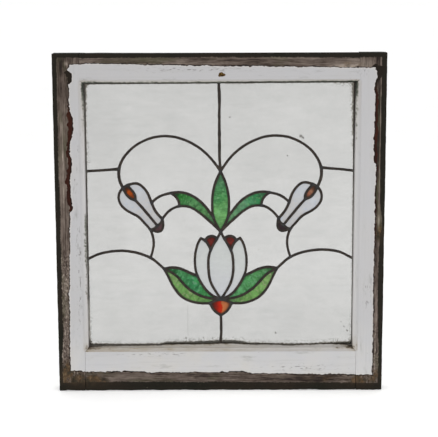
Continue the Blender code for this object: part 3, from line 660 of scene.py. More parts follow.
def sash_shader():
    """White paint over bare weathered wood, with old dark paint between, and dirt and a painted
    shadow along the paint's edge.
    """
    s = Shader("painted_wood", 0.6, 0.15)
    s.height = s.node("SeparateXYZ", {0: s.place}, out="Z")
    grain = s.value("grain", "Vector")
    wood, crumb = wood_colour(s, grain)
    blotch, rough = s.noise(s.place, 55), s.noise(s.place, 300, 3, 0.65)
    fine, coarse = s.swing(s.noise(s.place, 900, 2), 0.3), s.swing(rough, 0.8)
    dark = s.ramp(s.noise(s.place, 13), (0.3, "#1c1c15"), (0.5, "#221f19"), (0.66, "#27211a"))
    dark = s.mix(dark, "#4a4336", s.step(rough, 0.60, 0.75), 0.5)
    dark = s.mix(dark, "#3c3125", s.times(s.value("rust"), s.spread(blotch, 0.35, 0.6, 0.2, 0.9)))
    wood = s.mix(wood, dark, s.step(s.total(s.value("band"), s.swing(rough, 1.2)), -1.0, 0.4))
    old = s.ramp(blotch, (0.3, "#29140f"), (0.55, "#371a11"), (0.7, "#42251b"))
    ends = s.math("MAXIMUM", s.step(s.height, *OLD_HIGH), s.step(s.height, *OLD_LOW))
    residue = s.total(s.value("residue"), fine, (coarse, 0.8))
    wood = s.mix(wood, s.mix(old, "#231d17", ends), s.step(residue, -0.3, 0.3))
    paint_edge = s.total(s.value("paint"), fine, (coarse, 0.6))
    # Dirt and a painted shadow of the paint's thick edge, as a dark line on the bare wood just
    # outside it.
    shadow = s.total(paint_edge, s.spread(s.noise(s.place, 120), 0.35, 0.65, 0.6, 3.0))
    wood = s.mix(wood, "#1e1613", s.step(shadow, -0.6, 0.5), 0.85)

    paint, brush = paint_colour(s, grain)
    rim = s.math("SUBTRACT", s.step(paint_edge, 0.0, 0.3), s.step(paint_edge, 0.6, 2.6))
    paint = s.mix(paint, "#d6cfc8", rim, 0.5)
    # Painted light: the bevel and tongue are lighter the deeper they lie in the opening, against
    # the shade there.
    paint = s.mix(paint, "#e2e0de", s.spread(s.value("inner"), 0.5, 6, 0, 0.45))
    # Tan stains and dark dirt inside the opening, both with painted shade on the head's bevel and
    # deep in the recess by the glass.
    patchy = s.noise(grain, (45, 240, 240), 4, 0.65)
    stained = s.ramp(s.noise(s.place, 40), (0.35, "#a3977f"), (0.65, "#b3a797"))
    paint = s.mix(paint, stained, s.times(s.value("stain"), s.swing(patchy, 1.3, 0.4)), 0.8)
    grime = s.total(s.value("grime"), s.swing(s.noise(s.place, 170, 3, 0.7), 0.35),
                    s.swing(patchy, 0.2))
    higher = s.step(s.height, 0.1, 0.3)
    paint = s.mix(paint, s.mix("#7b7060", "#7c7d73", higher), s.step(grime, 0.3, 0.85))
    paint = s.mix(paint, s.mix("#33271c", "#353931", higher), s.step(grime, 0.55, 1.3))

    colour = s.mix(wood, paint, s.step(paint_edge, -0.15, 0.15))
    hole = s.ramp(rough, (0.38, "#3f2e12"), (0.5, "#86652c"), (0.62, "#ad8a4c"))
    colour = s.mix(colour, hole, s.step(s.value("hole"), 0.55, 0.95))
    exterior = s.ramp(s.noise(grain, 40, 4), (0.3, "#1f2420"), (0.7, "#353a33"))
    colour = s.mix(colour, exterior, s.value("behind"))
    covered = s.step(paint_edge, -0.1, 0.1)
    relief = s.total(s.times(crumb, s.spread(covered, 0, 1, 0.7, 0.05)), (brush, 0.25))
    return s.finish(colour, relief, 0.0004, s.spread(covered, 0, 1, 0.9, 0.6))


def add_soil_and_shade(mesh, side):
    """Stains, dirt and painted shade on the bevel and tongue, which grow towards the panel."""
    inner = read(mesh, "inner")
    along = read(mesh, "position")[:, 2 if side in ("left", "right") else 0] / MM
    stain, stain_in, grime, grime_in = lookup(SOIL_AND_SHADE[side], along)
    inwards = smooth_step(0.25 * BEVEL_DEPTH / MM, BEVEL_DEPTH / MM, inner)
    on_inside = smooth_step(0, 1, inner)
    heap = (side == "bottom") * 0.75 * smooth_step(15, 21, inner)
    write(mesh, stain=on_inside * (stain + (stain_in - stain) * inwards),
          grime=on_inside * (grime + (grime_in - grime) * inwards + heap))


def build_sash():
    finish = sash_shader()
    stile = OPEN_LEFT - SASH_LOW.x - BEVEL_WIDTH
    joint, top = HALF_SASH - stile, SASH_HIGH.z
    upright, level = (OPEN_LOW, OPEN_HIGH), (OPEN_LEFT, OPEN_RIGHT)
    groove = (OPEN_LOW - REBATE_WIDTH, OPEN_HIGH + REBATE_WIDTH)
    whole = (-HALF_SASH, HALF_SASH)
    for side, name, *job in (
            ("left", "stile_left", stile, (0, top), upright, groove,
             lambda u, v: (v - HALF_SASH, u), (OPEN_JOINT, 0), 0.0),
            ("right", "stile_right", stile, (0, top), upright, groove,
             lambda u, v: (HALF_SASH - v, u), (OPEN_JOINT, 0), 0.4),
            ("top", "rail_top", top - OPEN_HIGH - BEVEL_WIDTH, (-joint, joint), level, whole,
             lambda u, v: (u, top - v), (0, 0), 0.8),
            ("bottom", "rail_bottom", OPEN_LOW - BEVEL_WIDTH,
             (JOINT_GAP - joint, joint - JOINT_GAP), level, whole,
             lambda u, v: (u, v), (OPEN_JOINT, OPEN_JOINT), 1.2)):
        piece = member(name, *job, finish)
        worn(piece.data, name)
        add_soil_and_shade(piece.data, side)
        stands_for(piece, name)


def build_putty():
    """The fillets behind the panel, pressed in by hand: uneven along their slope."""
    s = Shader("putty", 0.85, 0.1)
    chips = s.noise(s.place, 150, 4, 0.65)
    colour = s.ramp(s.noise(s.place, 60, 4), (0.3, "#1f2420"), (0.7, "#3a3f37"))
    finish = s.finish(s.mix(colour, "#8c8676", s.step(chips, 0.63, 0.67)), chips, 0.0004)
    slope = np.linspace(0, 1, PUTTY_ROWS)
    for number, (label, axis, way, edge) in enumerate((
            ("bottom", 2, -1, OPEN_LOW), ("right", 0, 1, OPEN_RIGHT),
            ("top", 2, 1, OPEN_HIGH), ("left", 0, -1, OPEN_LEFT))):
        low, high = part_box("putty_" + label)
        half = HALF_W if axis == 2 else HALF_H
        foot, wall = sorted(way * (corner[axis] - edge) for corner in (low, high))
        section = np.array([(wall, low.y)] + [(foot + (wall - foot) * t * PUTTY_REACH,
                                               low.y + (high.y - low.y) * t) for t in slope]
                           + [(wall, high.y)])
        stations = np.arange(-1, 1.0001, 3 * MM * COARSE / half)
        v, t = np.broadcast_arrays(section[None, :, 0], stations[:, None])
        y = np.broadcast_to(section[None, :, 1], v.shape)
        bump = noise(np.stack([t.ravel() * half, v.ravel(), y.ravel()], axis=1) / MM,
                     (11, 3, 3), 60 + number).reshape(v.shape)
        on_slope = np.array([0, 0] + [1] * (PUTTY_ROWS - 2) + [0, 0])
        v = v + (0.35 + 0.45 * bump) * MM * on_slope
        u, out = t * (half + v - PUTTY_TRIM), edge + way * v
        x, z = (u, out) if axis == 2 else (out, PANEL_MIDDLE.z + u)
        made = mesh_object(f"putty_{label}_run", np.stack([x, y, z], axis=-1).reshape(-1, 3),
                           capped(len(stations), len(section), section, section), finish)
        stands_for(made, f"putty_{label}")


# ---------------------------------------------------------------- pattern

# Drawn once, in millimetres, as distance out from the centre line and height over the
# middle of the opening. It follows the hand-made cames, so its points are up to about 2 mm
# from those of the solid. Where cames meet:
CROSSING = (0, 84)            # arcs, centre came and leaf
WAIST = (0, -30.5)            # leaves above, tulip below
HUB = (0, -160)               # petals and lower leaves
SEED_FOOT = (0, -191)
ARC_SIDE = (186.9, 90)
BULB_TOP = (180.2, 54)
TEAR_SHOULDER = (172, 59)
TEAR_FOOT = (157.9, 31)
STEM_TOP = (127.8, 25.8)
STEM_LOW = (108.4, -4.8)
CAP_TOP = (117.3, -17.9)
CAP_UNDER = (110.3, -27.2)
BULB_FOOT = (130.6, -25.6)
LEAF_TOP = (91.6, 43.8)
LEAF_UNDER = (76.3, 19)
LEAF_ROOT = (13.6, -1.5)
JEWEL_ROOT = (7, -43.5)
NOTCH = (18.8, -65)
PETAL_SHOULDER = (29.5, -46.8)
PETAL_TIP = (36.5, -42.6)
PETAL_SIDE = (43.6, -114.5)
ARC_FOOT = (130.6, -79.3)
LEAF_TIP = (105.7, -100.6)
SEED_SIDE = (20.4, -167.7)
EDGE_SIDE, EDGE_LOW = (WIDE, 85), (WIDE, -81.5)
CORNER_TOP, CORNER_LOW = (WIDE, HIGH), (WIDE, -HIGH)
TOP_MIDDLE, LOW_MIDDLE = (0, HIGH), (0, -HIGH)

# The curved cames. Between other junctions the came is straight.
RUNS = [
    # arc over the side, and the bulb's back and front
    [CROSSING, (24.3, 116.2), (62.4, 142), (101.5, 150.8), (140.2, 142.6), (171.8, 119.4),
     ARC_SIDE, (185.7, 67), BULB_TOP],
    [BULB_TOP, (185.9, 46.9), (188.7, 36.8), (185.3, 24), (170.7, 9.7), (152.1, -0.7),
     (140.5, -13.6), BULB_FOOT, (125.1, -44), (125.4, -60), ARC_FOOT],
    [BULB_TOP, TEAR_SHOULDER, (158, 62.6), (147, 58.8), (134.5, 43.4), STEM_TOP, (119.4, 8),
     STEM_LOW],
    # tear, back and front, and the bulb's vein
    [BULB_TOP, (175.9, 44.5), (170.4, 37.2), (164.9, 33.3), TEAR_FOOT],
    [TEAR_SHOULDER, (164.1, 50.4), (159.4, 43.2), (157.4, 36.6), TEAR_FOOT],
    [TEAR_FOOT, (145.3, 17), CAP_TOP],
    # cap, rim and back
    [STEM_LOW, (110.6, -11.3), CAP_TOP, (123.5, -23), BULB_FOOT],
    [STEM_LOW, (106.6, -13.6), (106.8, -21.1), CAP_UNDER, (116.4, -29.4), (122.7, -28), BULB_FOOT],
    # stem, upper and lower, and the leaves
    [STEM_TOP, (113, 37.5), LEAF_TOP, (76, 45.3), (57.3, 40.8), (38.1, 28.7), (22, 9.8),
     LEAF_ROOT],
    [STEM_LOW, (99.5, 6), (89.5, 14.2), LEAF_UNDER, (60, 18.2), (43.5, 9.6), (14, -16), WAIST],
    [LEAF_TOP, (82.6, 36.4), (77.7, 27.8), LEAF_UNDER],
    [CROSSING, (7.6, 68.2), (12.9, 50), (15.5, 32), (15.7, 16), LEAF_ROOT, (7, -18), WAIST],
    # tulip: inner petal, jewel's top, petal's tip, outer petal
    [WAIST, JEWEL_ROOT, NOTCH, (23, -82), (23.1, -104), (19.4, -125), (10.6, -143.3), HUB],
    [JEWEL_ROOT, (11.5, -39.6), (18, -38.4), (25, -41), PETAL_SHOULDER],
    [PETAL_TIP, PETAL_SHOULDER, (24, -53.8), NOTCH],
    [PETAL_TIP, (40.6, -48.8), (44.8, -60.2), (48.2, -79), (47.7, -98), PETAL_SIDE,
     (30.4, -138), (17.5, -151.6), HUB],
    # low leaf: top, vein and edge
    [LEAF_TIP, (88, -98.3), (71, -102.2), (56.6, -109), PETAL_SIDE],
    [LEAF_TIP, (84.1, -113.5), (67.2, -132.7), (48, -147.9), (27.9, -156.5), HUB],
    [LEAF_TIP, (99, -114.5), (90.6, -132), (77.3, -151), (60.8, -162.2), (39.8, -167.5),
     SEED_SIDE],
    # seed, low arc and centre came
    [HUB, (11, -162.6), SEED_SIDE],
    [SEED_SIDE, (14.3, -179.6), (7, -186.9), SEED_FOOT],
    [EDGE_LOW, (223.4, -70.4), (195, -65.9), (164, -67.8), ARC_FOOT, (117.9, -89.1), LEAF_TIP],
    [TOP_MIDDLE, (0, 150), (0, 108), CROSSING],
]

# Glass: finish, the line that its streaks and shading follow, and the junctions round it.
ACROSS = ((0, 0), (1, 0))
ALONG_BULB = (CAP_TOP, BULB_TOP)
SIDE_PIECES = {
    "pane_upper": ("clear", ACROSS, TOP_MIDDLE, CROSSING, ARC_SIDE, EDGE_SIDE, CORNER_TOP),
    "pane_arc": ("clear", ACROSS, CROSSING, BULB_TOP, STEM_TOP, LEAF_ROOT),
    "pane_side": ("clear", ACROSS, EDGE_SIDE, ARC_SIDE, BULB_TOP, ARC_FOOT, EDGE_LOW),
    "pane_lower": ("clear", ACROSS, EDGE_LOW, LEAF_TIP, SEED_SIDE, SEED_FOOT, LOW_MIDDLE,
                   CORNER_LOW),
    "pane_field": ("clear", ACROSS, BULB_FOOT, ARC_FOOT, LEAF_TIP, PETAL_SIDE, PETAL_TIP,
                   PETAL_SHOULDER, JEWEL_ROOT, WAIST, STEM_LOW, CAP_UNDER),
    "pane_stem": ("clear", ACROSS, STEM_LOW, STEM_TOP, LEAF_TOP, LEAF_UNDER),
    "bulb_outer_petal": ("milk_blue", ALONG_BULB, BULB_TOP, TEAR_FOOT, CAP_TOP, BULB_FOOT),
    "bulb_inner_petal": ("milk_blue", ALONG_BULB, TEAR_SHOULDER, STEM_LOW, CAP_TOP, TEAR_FOOT),
    "bulb_tear": ("amber", (TEAR_FOOT, BULB_TOP), BULB_TOP, TEAR_SHOULDER, TEAR_FOOT),
    "bulb_cap": ("brown", (CAP_TOP, (109.4, -29)), STEM_LOW, CAP_TOP, BULB_FOOT, CAP_UNDER),
    "side_leaf": ("side_leaf", (WAIST, (88, 34)), LEAF_TOP, LEAF_ROOT, WAIST, LEAF_UNDER),
    "tulip_jewel": ("ruby", (NOTCH, (18, -38.4)), JEWEL_ROOT, PETAL_SHOULDER, NOTCH),
    "tulip_side_petal": ("milk", (HUB, PETAL_TIP), NOTCH, PETAL_TIP, HUB),
    "low_leaf_upper": ("low_leaf_upper", (HUB, LEAF_TIP), LEAF_TIP, PETAL_SIDE, HUB),
    "low_leaf_under": ("low_leaf_under", (HUB, LEAF_TIP), LEAF_TIP, HUB, SEED_SIDE),
}
# Pieces that lie across the centre line: the side drawn above, and its mirror image.
CENTRE_PIECES = {
    "middle_leaf": ("middle_leaf", (WAIST, CROSSING), CROSSING, WAIST),
    "tulip_middle_petal": ("milk", (HUB, WAIST), WAIST, HUB),
    "seed": ("scarlet", ((-20.5, -168.6), SEED_SIDE), HUB, SEED_SIDE, SEED_FOOT),
}


def spline(points):
    """Natural cubic spline through the points, FINE steps to each span."""
    pts = np.array(points, float)
    knots = np.cumsum([0, *np.sqrt(np.linalg.norm(np.diff(pts, axis=0), axis=1))])
    matrix, rhs = np.eye(len(pts)), np.zeros(pts.shape)
    for i in range(1, len(pts) - 1):
        before, after = knots[i] - knots[i - 1], knots[i + 1] - knots[i]
        matrix[i, i - 1:i + 2] = before, 2 * (before + after), after
        rhs[i] = 6 * ((pts[i + 1] - pts[i]) / after - (pts[i] - pts[i - 1]) / before)
    bend = np.linalg.solve(matrix, rhs)
    t = np.arange(1, FINE + 1)[:, None] / FINE
    s = 1 - t
    spans = [s * pts[i] + t * pts[i + 1] + (knots[i + 1] - knots[i]) ** 2 / 6
             * ((s ** 3 - s) * bend[i] + (t ** 3 - t) * bend[i + 1]) for i in range(len(pts) - 1)]
    return np.concatenate([pts[:1], *spans])


def stretch(start, end):
    """The came from one junction to another, straight where no run joins them."""
    for points in RUNS:
        if start in points and end in points:
            first, last = points.index(start) * FINE, points.index(end) * FINE
            part = spline(points)[min(first, last):max(first, last) + 1]
            return part if first < last else part[::-1]
    return np.array([start, end], float)


def put(line, side):
    """Drawn millimetres to metres, out to the left (-1) or to the right (+1)."""
    line = np.asarray(line, float)
    lean = np.clip((line[:, 1] - CROSSING[1]) / LEAN_WITHIN, 0, 1)
    lean = lean * (np.abs(line[:, 0]) < 1)
    x = side * line[:, 0] * MM + lean * CENTRE_LEAN
    return np.stack([x, line[:, 1] * MM], axis=1)


def cross(first, second):
    return first[..., 0] * second[..., 1] - first[..., 1] * second[..., 0]


def turn_between(before, after):
    """Signed turn from the end of one line to the start of the next."""
    (x, z), (next_x, next_z) = before[-1] - before[-2], after[1] - after[0]
    return (atan2(next_z, next_x) - atan2(z, x) + pi) % (2 * pi) - pi


def outline(sides):
    """Orders the sides of one glass piece anticlockwise; straight meetings merge."""
    loop = np.concatenate([side[:-1] for side in sides])
    if np.sum(cross(loop, np.roll(loop, -1, axis=0))) < 0:
        sides = [side[::-1] for side in sides[::-1]]
    count = len(sides)
    breaks = [i for i in range(count) if abs(turn_between(sides[i - 1], sides[i])) > STRAIGHT]
    merged = []
    for start, stop in zip(breaks, breaks[1:] + breaks[:1]):
        parts = [sides[(start + k) % count] for k in range((stop - start - 1) % count + 1)]
        merged.append(np.concatenate([parts[0]] + [part[1:] for part in parts[1:]]))
    return merged


def shifted(line, distance):
    """The line moved to its left by a distance."""
    steps = np.diff(line, axis=0)
    steps /= np.linalg.norm(steps, axis=1)[:, None]
    normal = np.stack([-steps[:, 1], steps[:, 0]], axis=1)
    mean = np.concatenate([normal[:1], normal]) + np.concatenate([normal, normal[-1:]])
    return line + distance * mean / np.linalg.norm(mean, axis=1)[:, None]


def crossing(first, second):
    """Where the end of one line first meets the start of the next.

    Gives the two segment numbers and the point, or the tips' mitre if they only
    meet beyond their ends.
    """
    r, s = np.diff(first, axis=0)[:, None], np.diff(second, axis=0)
    slant = cross(r, s)
    slant = np.where(np.abs(slant) < TINY, TINY, slant)
    gap = second[:-1] - first[:-1, None]
    t, u = cross(gap, s) / slant, cross(gap, r) / slant
    i, j = np.where((t >= 0) & (t <= 1) & (u >= 0) & (u <= 1))
    if len(i):
        nearest = np.lexsort((-i, j - i))[0]
        i, j = i[nearest], j[nearest]
        return i, j, first[i] + t[i, j] * r[i, 0]
    p, r = first[-1], first[-1] - first[-2]
    q, s = second[0], second[0] - second[1]
    if abs(cross(r, s)) < PARALLEL * np.linalg.norm(r) * np.linalg.norm(s):
        return len(first) - 1, 0, (p + q) / 2
    return len(first) - 1, 0, p + cross(q - p, s) / cross(r, s) * r


def resampled(line, count):
    """Evenly spaced points along a line, without its last one."""
    reach = np.concatenate([[0], np.cumsum(np.linalg.norm(np.diff(line, axis=0), axis=1))])
    at = np.linspace(0, reach[-1], count + 1)[:-1]
    return np.stack([np.interp(at, reach, line[:, k]) for k in (0, 1)], axis=1)


def inset_loop(sides, counts, distance):
    """The outline moved inwards, with the same number of points at every distance."""
    moved = [shifted(side, distance) for side in sides]
    joints = [crossing(moved[i - 1], moved[i]) for i in range(len(moved))]
    loop = []
    for line, start, stop, count in zip(moved, joints, joints[1:] + joints[:1], counts):
        body = line[start[1] + 1:stop[0] + 1]
        loop.append(resampled(np.concatenate([start[2][None], body, stop[2][None]]), count))
    return np.concatenate(loop)


def piece_sides(chain, sides):
    """Placed sides of a piece; one drawn on both sides closes over the centre line."""
    both = len(sides) == 2
    drawn = [stretch(*pair) for pair in zip(chain, chain[1:] + ([] if both else chain[:1]))]
    placed = [put(line, sides[0]) for line in drawn]
    if both:
        placed += [put(line, sides[1])[::-1] for line in reversed(drawn)]
    return outline(placed)


# ---------------------------------------------------------------- panel

SOLDERED = ({spot for _, _, *chain in (*SIDE_PIECES.values(), *CENTRE_PIECES.values())
             for spot in chain} - {PETAL_TIP, CAP_UNDER, CORNER_TOP, CORNER_LOW})
JOINT_SPREAD, HUB_SPREAD = 3.8, 9     # mm that the solder spreads
SOLDER_WIDER, SOLDER_HIGHER = 0.6 * MM, 0.4 * MM
WOBBLE = 0.3 * MM             # how far the came strays from its drawn line
DENTED, FRAYED = 0.05 * MM, 0.09 * MM     # unevenness of its faces and of its edges
RIM_STEPS = 60                # points along each side of the border's outer edge
CLEAR_OF_EDGE = 4 * MM        # solder and wobble die out towards the sash
# The whole pattern sits a little askew: mm sideways and up in the middle, then what is
# added at the opening's right edge, at its top edge, and at both its sides.
LEAN = ((1.16, 0.67, -0.25, -0.87), (0.3, 0.82, -0.85, 0.1))
LEAN_FADE = 26 * MM
# The came's section: distance from its middle line and height below its crest, in mm
CAME_ROUND = [(0.75, 0), (1.35, 0.07), (1.8, 0.24), (2.05, 0.45), (CAME_FACE / MM / 2, 0.66)]
# Where the came within the pattern is heavier: x out from the middle and height, half
# width and half height in mm, and how much.
HEAVY_SPOTS = [(186, 80, 14, 30, 1.0), (20, -103, 12, 45, 0.35), (142, 12, 22, 22, 0.5),
               (80, -150, 16, 16, 0.4), (170, 118, 14, 14, 0.3)]


def joint_weight(points):
    """How much solder there is at panel points: 0 to 1."""
    x, z = np.abs(points[:, 0]) / MM, points[:, 1] / MM
    gaps = [np.hypot(x - spot[0], z - spot[1]) / (HUB_SPREAD if spot == HUB else JOINT_SPREAD)
            for spot in SOLDERED]
    return np.exp(-1.4 * np.min(gaps, axis=0) ** 2)


def off_edge(points, reach=CLEAR_OF_EDGE):
    """0 at the opening's edges, 1 well inside."""
    gap = np.minimum(HALF_W - np.abs(points[:, 0]), HALF_H - np.abs(points[:, 1]))
    return smooth_step(1 * MM, reach, gap)


def hand_made(points):
    """Panel points, strayed a little from where they were drawn."""
    x, z = points.T / MM
    stray = [noise(points / MM, 21, seed) + 0.4 * noise(points / MM, 7, seed + 1)
             for seed in (31, 33)]
    lean = np.stack([np.ones_like(x), x / WIDE, z / HIGH, np.abs(x) / WIDE]).T @ np.array(LEAN).T
    low_right = (smooth_step(WIDE - RIM_FROM, WIDE - RIM_FULL, x) * smooth_step(190, -180, z)
                 * NARROWER)
    head = smooth_step(HIGH - RIM_FROM, HIGH - RIM_FULL, z) * lookup(HEAD_RISE, x) * MM
    return (points + np.stack(stray, axis=1) * WOBBLE * off_edge(points)[:, None]
            + np.stack([low_right, head], axis=1)
            + lean * MM * off_edge(points, LEAN_FADE)[:, None])


def at_depth(loop, y):
    return np.stack([loop[:, 0], np.broadcast_to(y, len(loop)),
                     PANEL_MIDDLE.z + loop[:, 1]], axis=1)


def heavier(points):
    """How much wider the came is: most on the straight one above the pattern."""
    near = smooth_step(5 * MM, 3 * MM, np.abs(points[:, 0] - CENTRE_LEAN / 2))
    x, z = np.abs(points[:, 0]) / MM, points[:, 1] / MM
    above = smooth_step(CROSSING[1], CROSSING[1] + 12, z)
    below = smooth_step(SEED_FOOT[1], SEED_FOOT[1] - 10, z)
    lumps = 0.9 + 0.5 * noise(points[:, 1:] / MM, 9, 47) + 0.3 * noise(points / MM, 3.5, 48)
    return near * lumps * (0.8 * above + 0.5 * below) + patches(HEAVY_SPOTS, x, z, 4)


def came_loops(piece, inset, wider):
    """The came's edge round a glass piece, blending outwards over solder."""
    plain = inset_loop(*piece, inset)
    weight = joint_weight(plain)
    if wider:
        amount = (weight + heavier(plain)) * off_edge(plain)
        plain = plain + (inset_loop(*piece, inset + SOLDER_WIDER) - plain) * amount[:, None]
    return plain, weight


def lattice_rings(front, back):
    """The came's rings round each piece of glass, from front to back.

    Each has its inset, its depth, which way solder raises it and whether it is wider there.
    """
    heart, edge = HEART / 2, CAME_ROUND[-1][0] * MM
    return [*((d * MM, front + low * MM, -1, d > 1) for d, low in CAME_ROUND),
            (edge, front + FLANGE, 0, True), (heart, front + FLANGE, 0, False),
            (heart, back - FLANGE, 0, False), (edge, back - FLANGE, 0, True),
            *((d * MM, back - low * MM, 1, d > 1) for d, low in reversed(CAME_ROUND))]


def smeared(points):
    """Where paint and putty cover the border came: left, right and along the foot."""
    x, z = points[:, 0] / MM, points[:, 2] / MM
    sides = smooth_step(WIDE - 4, WIDE - 3, np.abs(x)) * np.where(
        x < 0, 0.25 + smooth_step(180, 150, z) * smooth_step(90, 100, z),
        0.5 * smooth_step(470, 380, z) * smooth_step(90, 110, z))
    return np.maximum(sides, 0.4 * smooth_step(OPEN_LOW / MM + 4, OPEN_LOW / MM + 3, z))


def build_lattice(pieces, finish):
    """The soldered lattice: rounded flanges front and back, a heart between the panes."""
    front, back = PANEL_LOW.y, PANEL_HIGH.y
    rings = lattice_rings(front, back)
    x, z = HALF_W + BORDER_OUT, HALF_H + BORDER_OUT
    corners = np.array([(-x, -z), (x, -z), (x, z), (-x, z), (-x, -z)])
    rim = np.concatenate([resampled(corners[k:k + 2], RIM_STEPS) for k in range(4)])
    count = len(rim)
    points = [at_depth(rim, front), at_depth(rim, back)]
    solder = [np.zeros(2 * count)]
    total = 2 * count
    starts, crests = [], {}
    for number, (inset, y, way, wider) in enumerate(rings):
        starts.append([])
        for piece in pieces:
            loop, weight = came_loops(piece, inset, wider)
            if number in (0, len(rings) - 1):
                crests.setdefault(number, []).append(loop)
            moved = hand_made(loop)
            raised = way * (SOLDER_HIGHER * weight * off_edge(loop)
                            + DENTED * noise(loop / MM, 4, 41))
            if wider:
                moved = moved + FRAYED * np.stack(
                    [noise(loop / MM, 3.3, seed) for seed in (43, 44)], axis=1)
            starts[-1].append(total)
            points.append(at_depth(moved, y + np.where(off_edge(loop) > 0, raised, 0)))
            solder.append(weight)
            total += len(loop)

    def on_face(face, rim_start, level):
        return [rim_start + i if i < count else starts[level][0] + i - count for i in face]

    faces = [on_face(face, 0, 0) for face in filled(rim, crests[0])]
    faces += [on_face(face, count, -1)[::-1] for face in filled(rim, crests[len(rings) - 1])]
    faces += [quad[::-1] for quad in quads(0, count, count)]
    for near, far in zip(starts, starts[1:]):
        for first, second, loop in zip(near, far, crests[0]):
            faces += quads(first, second, len(loop))
    points = np.concatenate(points)
    made = mesh_object("came_lattice", points, faces, finish,
                       solder=np.concatenate(solder), smeared=smeared(points))
    stands_for(made, "lead_lattice")


# Dirt on the clear glass along each side of the opening, in mm: place along the side,
# how far in it is solid, how far in its flecks reach.
GLASS_SOIL = {
    "left": [(82, 3, 14), (95, 2, 10), (120, 1, 8), (180, 1.6, 3), (245, 2, 2), (262, 1, 1),
             (330, 1.2, 1), (400, 1.4, 3), (430, 1.8, 9), (460, 2.2, 8), (515, 2.6, 5),
             (550, 3.6, 6), (580, 5, 10)],
    "right": [(82, 3, 12), (100, 1.2, 8), (130, 0, 8), (160, 0, 3), (250, 0, 5),
              (300, 0, 5), (420, 0.8, 4), (480, 3.4, 7), (540, 5, 9), (580, 5.6, 14)],
    "top": [(-249, 4, 8), (-225, 2, 5), (-150, 1.8, 4), (-60, 1.4, 3), (5, 1.6, 3), (25, 2.2, 5),
            (60, 2.2, 5), (80, 1.4, 4), (140, 1.4, 4), (190, 1, 5), (249, 3, 12)],
    "bottom": [(x, high + line, high + line + 7) for x, high, line in BUILT_UP],
}
FOOT_SOIL = 16 * MM           # how far up the foot's dirt is on the back of the glass too
NO_SOIL = -50.0
# Clear and opal glass: mesh spacing, then the length and height of their waves, in mm
SHEET = {True: (5, 60, 0.05), False: (2.2, 7, 0.10)}
CROWDED = 0.55                # share of the spacing that points keep from the rim


def spots_within(loop, spacing):
    """Staggered points inside a loop, none crowded at its rim, and their gaps from it."""
    low, high = loop.min(0), loop.max(0)
    grid = np.stack(np.meshgrid(np.arange(low[0], high[0], spacing),
                                np.arange(low[1], high[1], spacing)), axis=-1)
    grid[1::2, :, 0] += spacing / 2
    grid = grid.reshape(-1, 2)
    grid = grid[inside(grid, loop)]
    gaps = np.min([np.hypot(*(grid - spot).T) for spot in loop], axis=0)
    kept = gaps > spacing * CROWDED
    return grid[kept], gaps[kept]


def glass_plate(name, piece, axis, side, kind, finish, seed):
    """A sheet of glass with a slightly uneven front and back."""
    clear = kind == "clear"
    step, size, swell = SHEET[clear]
    loop = inset_loop(*piece, HEART / 2 + GLAZING_GAP)
    spots, gaps = spots_within(loop, step * MM * COARSE)
    rim = np.concatenate([np.zeros(len(loop)), gaps / MM])
    verts = np.concatenate([loop, spots])
    total = len(verts)
    triangles = filled(loop, (), spots)
    moved = hand_made(verts)
    points = np.concatenate([
        at_depth(moved, PANEL_MIDDLE.y + way * GLASS / 2
                 + noise(verts / MM, (size, size * 0.6), seed + k) * swell * MM)
        for k, way in enumerate((-1, 1))])
    faces = triangles + [tuple(total + i for i in reversed(t)) for t in triangles]
    faces += [quad[::-1] for quad in quads(0, total, len(loop))]
    start, stop = (put([end], side)[0] for end in axis)
    length = np.linalg.norm(stop - start)
    along = (stop - start) / length
    away = np.concatenate([verts, verts]) - start
    share = away @ along / length
    across = away @ np.array([-along[1], along[0]]) * side
    values = {"flow": np.stack([share * length, across, np.full(2 * total, 0.37 * seed)], axis=1),
              "tone": share, "side": np.full(2 * total, side), "rim": np.tile(rim, 2)}
    if clear:
        # How far within the dirt's solid edge, and within its flecks, in mm
        x, z = verts[:, 0] / MM, (verts[:, 1] + PANEL_MIDDLE.z) / MM
        away = side_distances(x, z, WIDE, OPEN_LOW / MM, OPEN_HIGH / MM)
        soil, flecks = (by_side(GLASS_SOIL, x, z) - away[:, None]).max(0)
        low_down = verts[:, 1] < FOOT_SOIL - HALF_H
        values["soil"] = np.concatenate([soil, np.where(low_down, soil, NO_SOIL)])
        values["flecks"] = np.concatenate([flecks, np.full(total, NO_SOIL)])
    made = mesh_object(name + "_glass", points, faces, finish, **values)
    stands_for(made, name)


def build_panel():
    finishes = glass_shaders()
    jobs = []
    for base, row in SIDE_PIECES.items():
        jobs += [(base + "_left", (-1,), *row), (base + "_right", (1,), *row)]
    jobs += [(name, (-1, 1), *row) for name, row in CENTRE_PIECES.items()]
    pieces = []
    for number, (name, sides, kind, axis, *chain) in enumerate(jobs):
        lines, counts = piece_sides(chain, sides), []
        for line in lines:
            steps = np.diff(line, axis=0)
            turns = np.diff(np.unwrap(np.arctan2(steps[:, 1], steps[:, 0])))
            counts.append(max(2, ceil(np.linalg.norm(steps, axis=1).sum() / CAME_STEP),
                              ceil(np.abs(turns).sum() / TURN_STEP)))
        pieces.append((lines, counts))
        glass_plate(name, pieces[-1], axis, sides[-1], kind, finishes[kind], 50 + 2 * number)
    build_lattice(pieces, lead_shader())


# ---------------------------------------------------------------- lead and glass

# Base colours that let the clear panes read as grey against a white background
CLEAR_DARK, CLEAR_MIDDLE, CLEAR_LIGHT = ((level, level, level * 0.985)
                                         for level in (0.52, 0.56, 0.595))
# Larger dark marks on the clear panes: x and height in mm, size in mm
GLASS_MARKS = [(150, 481, 2.6), (154, 477.5, 1.7), (18.5, 516, 1.2), (125, 444, 1.2),
               (105, 106, 1.5), (-65, 96.5, 1.4), (-32, 96.5, 0.9), (240, 110, 1.6),
               (234, 118, 1), (228, 128, 0.9)]
# A fine crack in the lower left pane: its place, foot and head, in mm
CRACK_X, CRACK_LOW, CRACK_HIGH = -61.5, 98, 163


